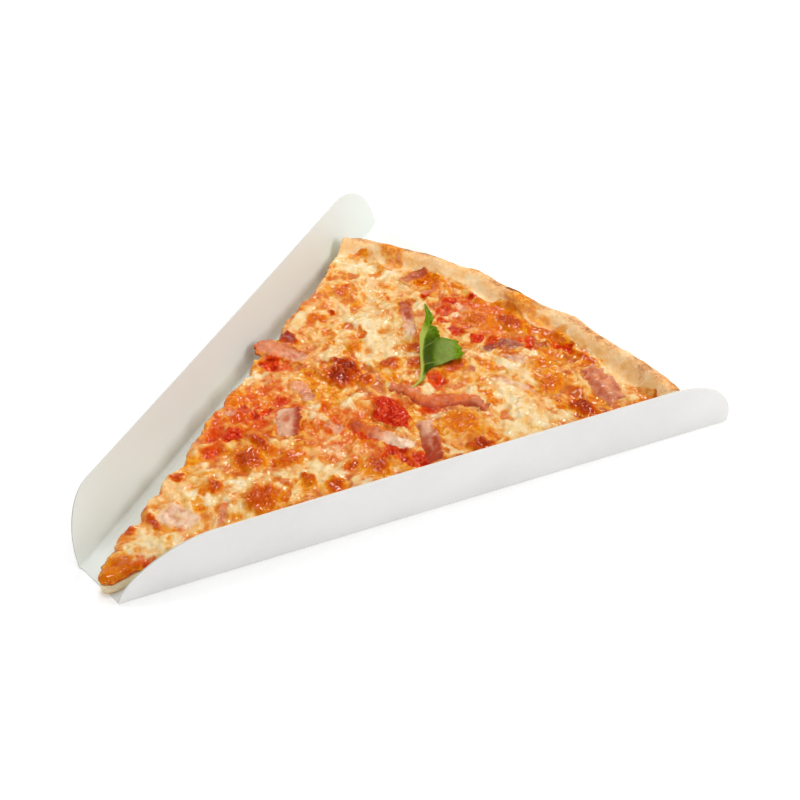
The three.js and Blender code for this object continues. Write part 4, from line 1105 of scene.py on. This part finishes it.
# Ripe cooked tomato: bright red wet pulp with paler fibres under a thin film of juice.
tomato_pulp, tree, place = new_material("ripe_tomato_pulp")
melt, grain, _ = cheese_colour(tree, place)
pulp = add(tree, "ShaderNodeTexNoise",
           {"Vector": place, "Scale": 1 / (1.5 * MM), "Detail": 4, "Roughness": 0.6,
            "Distortion": 0.6})
flesh = add(tree, "ShaderNodeValToRGB", {"Fac": pulp},
            stops=[(0.3, "#a20e00"), (0.5, "#c42000"), (0.7, "#e6602a")])
bare = add(tree, "ShaderNodeAttribute", attribute_name="cover").outputs["Fac"]
bare = add(tree, "ShaderNodeMath", {"Value": pulp, "Value_001": 0.8, "Value_002": bare},
           operation="MULTIPLY_ADD")
bare = add(tree, "ShaderNodeMapRange", {"Value": bare, "From Min": 0.4, "From Max": 0.8},
           interpolation_type="SMOOTHSTEP")
colour = add(tree, "ShaderNodeMix", {"Factor": bare, "A": melt, "B": flesh}, data_type="RGBA")
wet_shader(tree, colour, pulp, 0.4, 0.2)

lump_rings, lump_sides = 38, 72
lump_sunk, lump_foot = 0.6, 1.2


def lay_lump(name, lump, seed):
    """A torn chunk: a closed dome with a lumpy outline, its foot sunk in the cheese."""
    at, half, tall, turn = lump
    climb = np.linspace(0, math.pi, lump_rings + 2)[1:-1, None]
    around = np.linspace(0, 2 * math.pi, lump_sides + 1)[None, :-1]
    outline = 1 + 0.1 * np.cos(4 * around + 0.6) + 0.05 * np.sin(3 * around)
    outline = outline + 0.12 * noise(3 * np.cos(around), 3 * np.sin(around), 1.1, seed + 2)
    flat = np.sin(climb) ** 0.8 * outline
    px, py = half[0] * flat * np.cos(around), half[1] * flat * np.sin(around)
    c, s = math.cos(math.radians(turn)), math.sin(math.radians(turn))
    x, y = at[0] + c * px - s * py, at[1] + s * px + c * py
    rest = cheese_fields(x.ravel(), y.ravel(), 0)[0].reshape(x.shape)
    rest = mix(rest.mean(), rest, 0.75)
    up = np.sign(np.cos(climb)) * np.abs(np.cos(climb)) ** 0.6
    ribs = 0.2 * noise(px, py * 0.3, 1.0, seed) + 0.35 * noise(px, py, 3.2, seed + 1)
    z = rest - lump_sunk + np.where(up > 0, tall * up, lump_foot * up) + ribs * (up > -0.2)
    poles = np.array([[at[0], at[1], z[0].mean() + 0.05], [at[0], at[1], z[-1].mean() - 0.05]])
    points = np.concatenate([np.stack([x, y, z], -1).reshape(-1, 3), poles])
    ids = np.arange(x.size).reshape(x.shape)
    ring = np.concatenate([ids, ids[:, :1]], 1)
    caps = [[pole, row[k], row[k + 1]]
            for pole, row in ((x.size, ring[0]), (x.size + 1, ring[-1])) for k in range(lump_sides)]
    cover = np.append(smoothstep(1 - np.sin(climb) ** 0.8 + 0 * around, 0.02, 0.3).ravel(), [1, 1])
    under = cheese_fields(*points[:, :2].T, 0)[1]
    triangles = np.concatenate([grid_triangles(ring), np.array(caps)])
    return make_piece(name, to_tray(points), triangles, tomato_pulp, cover=cover, **under)


for seed, (name, lump) in enumerate(tomato_lumps.items()):
    place_piece(lay_lump(name + "_chunk", lump, 400 + 10 * seed), "tomato", name)

# ---------- Parsley leaf ----------
# One leaflet of flat parsley, laid on after baking. It is folded along its midrib: one
# half lies out in toothed lobes, and the other stands up and shows its paler side.

leaf = dict(stem=[10.8, 135.8], tip=[-15.6, 166.3], low=10.9, high=15, thick=0.35, stalk=4.5,
            steep=0.9, groove=0.12)
leaf_rows, raised_columns, lying_columns = 170, 13, 31
side_veins = [(8, 0.45, 0.35), (17, 0.9, 0.3), (25, 1, 0.3)]   # foot on the midrib, slope, half width
# Outlines along the midrib, as distance from its foot and distance aside: the toothed
# lobes of the lying half, the fold, and the edge of the half that stands up.
lobes = [[-4.5, -2.6], [0, 0.5], [3.5, 1.5], [6, 3], [8.3, 5.2], [9.8, 7.6], [11, 10.6], [12, 13.9],
         [13.4, 13.4], [15, 15.2], [16.2, 13.6], [17.4, 14.2], [19.5, 12.2], [20.8, 12.9], [21.3, 8.4],
         [21.7, 5.6], [22.8, 5.9], [23.4, 5.2], [24.6, 5.6], [25.4, 4.6], [26.6, 4.8], [27.6, 3.7],
         [28.2, 1.9], [29.2, 2.7], [30.2, 2.6], [31.5, 3.1], [33, 2.8], [35, 2], [37.5, 1], [40.3, -0.3]]
fold_line = [[-4.5, -3], [0, 0], [7, 0.5], [11, 0], [15, -0.3], [21, 0], [25, 0.9], [28, 1.6], [33, 1.2],
             [37, 0], [40.3, -0.6]]
upright = [[-4.5, -3.5], [0, -0.6], [4, -0.5], [8, -0.7], [13, -1.2], [17, -1.5], [21, -1.7],
           [24, -1.2], [28, -0.2], [33, 0.1], [37, -0.5], [40.3, -0.8]]

# Fresh parsley: thin and waxy, light passes through it, darker along the fold with painted
# shade, with a painted grey-green sheen on the lying half, and paler on the veins and on
# the underside.
greens, tree, place = new_material("fresh_parsley")
pale, vein, sheen, shade = (
    add(tree, "ShaderNodeAttribute", attribute_name=key).outputs["Fac"]
    for key in ("pale", "vein", "sheen", "shade"))
cells = add(tree, "ShaderNodeTexNoise",
            {"Vector": place, "Scale": 1 / (1.6 * MM), "Detail": 4, "Roughness": 0.6})
colour = add(tree, "ShaderNodeValToRGB", {"Fac": cells},
             stops=[(0.35, "#5c7c00"), (0.55, "#769a00"), (0.75, "#92b408")])
for amount, tint in ((shade, "#445600"), (sheen, "#9aac58"), (vein, "#a8bc58"), (pale, "#c4ce62")):
    colour = add(tree, "ShaderNodeMix", {"Factor": amount, "A": colour, "B": srgb(tint)},
                 data_type="RGBA")
bump = add(tree, "ShaderNodeBump", {"Height": cells, "Strength": 0.25, "Distance": 0.2 * MM})
gloss = add(tree, "ShaderNodeBsdfPrincipled",
            {"Base Color": colour, "Roughness": 0.45, "IOR": 1.42, "Specular IOR Level": 0.1,
             "Normal": bump})
glow = add(tree, "ShaderNodeBsdfTranslucent", {"Color": colour})
shader = add(tree, "ShaderNodeMixShader", {"Fac": 0.3, "Shader": gloss, "Shader_001": glow})
add(tree, "ShaderNodeOutputMaterial", {"Surface": shader})

start, finish = np.array(leaf["stem"]), np.array(leaf["tip"])
length = float(np.linalg.norm(finish - start))
ahead = (finish - start) / length
s = np.linspace(-leaf["stalk"], length, leaf_rows)[:, None]
c = np.concatenate([np.linspace(-1, 0, raised_columns), np.linspace(0, 1, lying_columns)[1:]])[None]
lying, fold, raised = (np.interp(s[:, 0], *np.array(line).T)[:, None]
                       for line in (lobes, fold_line, upright))
aside = np.where(c < 0, fold - c * (raised - fold), fold + c * (lying - fold))
out = aside - fold
s = s + 0 * out
lobe_vein = sum(np.exp(-((s - foot - slope * out) / half) ** 2) for foot, slope, half in side_veins)
lobe_vein = lobe_vein * (out > 0) * smoothstep(lying - aside, 0.4, 2) + np.exp(-(out / 0.3) ** 2)
droop = 0.5 * np.sin(out / 2.6 + s / 4) * np.minimum(1, np.abs(out) / 4) + 0.35 * noise(s, out, 3, 501)
rise = mix(leaf["low"], leaf["high"], smoothstep(s, 0, length))
z = rise + np.where(c < 0, -leaf["steep"] * out, droop) * smoothstep(s, -1, 5)
z = z - leaf["groove"] * lobe_vein
x = start[0] + ahead[0] * s + ahead[1] * aside
y = start[1] + ahead[1] * s - ahead[0] * aside
upper = np.stack([x, y, z + leaf["thick"]], -1)
lower = np.stack([x, y, z], -1)
points, triangles = close_sheet(upper, lower)
underside, stalk = smoothstep(-out, 0, 0.15) * (1 - smoothstep(s, 23, 29)), 1 - smoothstep(s, 1, 5)
# Painted sheen: grey-green on the middle of the lying half, nearer the stem.
sheen = smoothstep(out, 3, 7) * (1 - smoothstep(out, 10, 13)) * (1 - smoothstep(s, 19, 22))
# Painted shade: dark on the lying half just beside the fold, fading towards the tip.
shade = smoothstep(out, 0, 0.6) * (1 - smoothstep(out, 2.5, 7)) * (1 - smoothstep(s, 18, 30))
tints = dict(pale=0.9 * underside + 0.7 * stalk, vein=0.4 * lobe_vein, sheen=0.75 * sheen, shade=shade)
tints = {key: np.tile(np.clip(field, 0, 1).ravel(), 2) for key, field in tints.items()}
leaflet = make_piece("parsley_leaflet", to_tray(points), triangles, greens, **tints)
place_piece(leaflet, "parsley", "parsley_leaf")

# ---------- Studio ----------
# A white table top lit a little from below, a large softbox overhead, a soft light from
# the right that the slice shades the tray from, and two small lamps for the shine.

table_half = 3.0                       # metres
floor_mesh = bpy.data.meshes.new("table_top")
floor_corners = [(sx * table_half, sy * table_half, 0) for sx, sy in ((-1, -1), (1, -1), (1, 1), (-1, 1))]
floor_mesh.from_pydata(floor_corners, [], [(0, 1, 2, 3)])
table_top = bpy.data.objects.new("table_top", floor_mesh)
bpy.context.scene.collection.objects.link(table_top)
# Matt white laminate.
laminate, tree, place = new_material("white_laminate")
shader = add(tree, "ShaderNodeBsdfPrincipled",
             {"Base Color": srgb("#fbfbfb"), "Roughness": 0.8, "Specular IOR Level": 0.1,
              "Emission Color": (1, 1, 1, 1), "Emission Strength": 0.14})
add(tree, "ShaderNodeOutputMaterial", {"Surface": shader})
floor_mesh.materials.append(laminate)

world = bpy.data.worlds.new("studio")
world.use_nodes = True
world.node_tree.nodes["Background"].inputs["Color"].default_value = (1, 1, 1, 1)
world.node_tree.nodes["Background"].inputs["Strength"].default_value = 0.34
# Only the small lamps mirror in wet food: the broad lights would lay a haze over its colours.
world.cycles_visibility.glossy = False
bpy.context.scene.world = world

# Lamps: place, what it is aimed at, width of its square in metres, watts, and whether it mirrors.
lamps = {
    "overhead_softbox": ((0.3, 0, 1.1), (0, 0, 0), 1.4, 5.5, False),
    "overhead_spot": ((-0.1, -0.05, 1.0), (0, 0, 0), 0.13, 1.6, True),
    "rear_light": ((-0.45, 0.5, 0.7), (0, 0, 0), 0.15, 2.5, True),
    "side_light": ((0.85, 0.42, 0.5), (0, 0, 0.01), 0.6, 4.6, False),
}
for name, (at, aim, size, power, mirrored) in lamps.items():
    lamp = bpy.data.lights.new(name, "AREA")
    lamp.size = size
    lamp.energy = power
    holder = bpy.data.objects.new(name, lamp)
    holder.location = at
    holder.rotation_euler = (Vector(aim) - Vector(at)).to_track_quat("-Z", "Y").to_euler()
    holder.visible_glossy = mirrored
    bpy.context.scene.collection.objects.link(holder)

camera_data = bpy.data.cameras.new("camera")
camera_data.sensor_width = 36
camera_data.lens = 58.5
camera_data.clip_start = 0.01
camera = bpy.data.objects.new("camera", camera_data)
target = np.array([1.16, 28.055, 0]) * MM
distance, azimuth, elevation = 473.83 * MM, math.radians(45.686), math.radians(40.223)
level = math.cos(elevation)
away = np.array([math.sin(azimuth) * level, -math.cos(azimuth) * level, math.sin(elevation)])
camera.location = Vector(target + distance * away)
camera.rotation_euler = Vector(-away).to_track_quat("-Z", "Y").to_euler()
bpy.context.scene.collection.objects.link(camera)
bpy.context.scene.camera = camera
bpy.context.scene.view_settings.view_transform = "Standard"
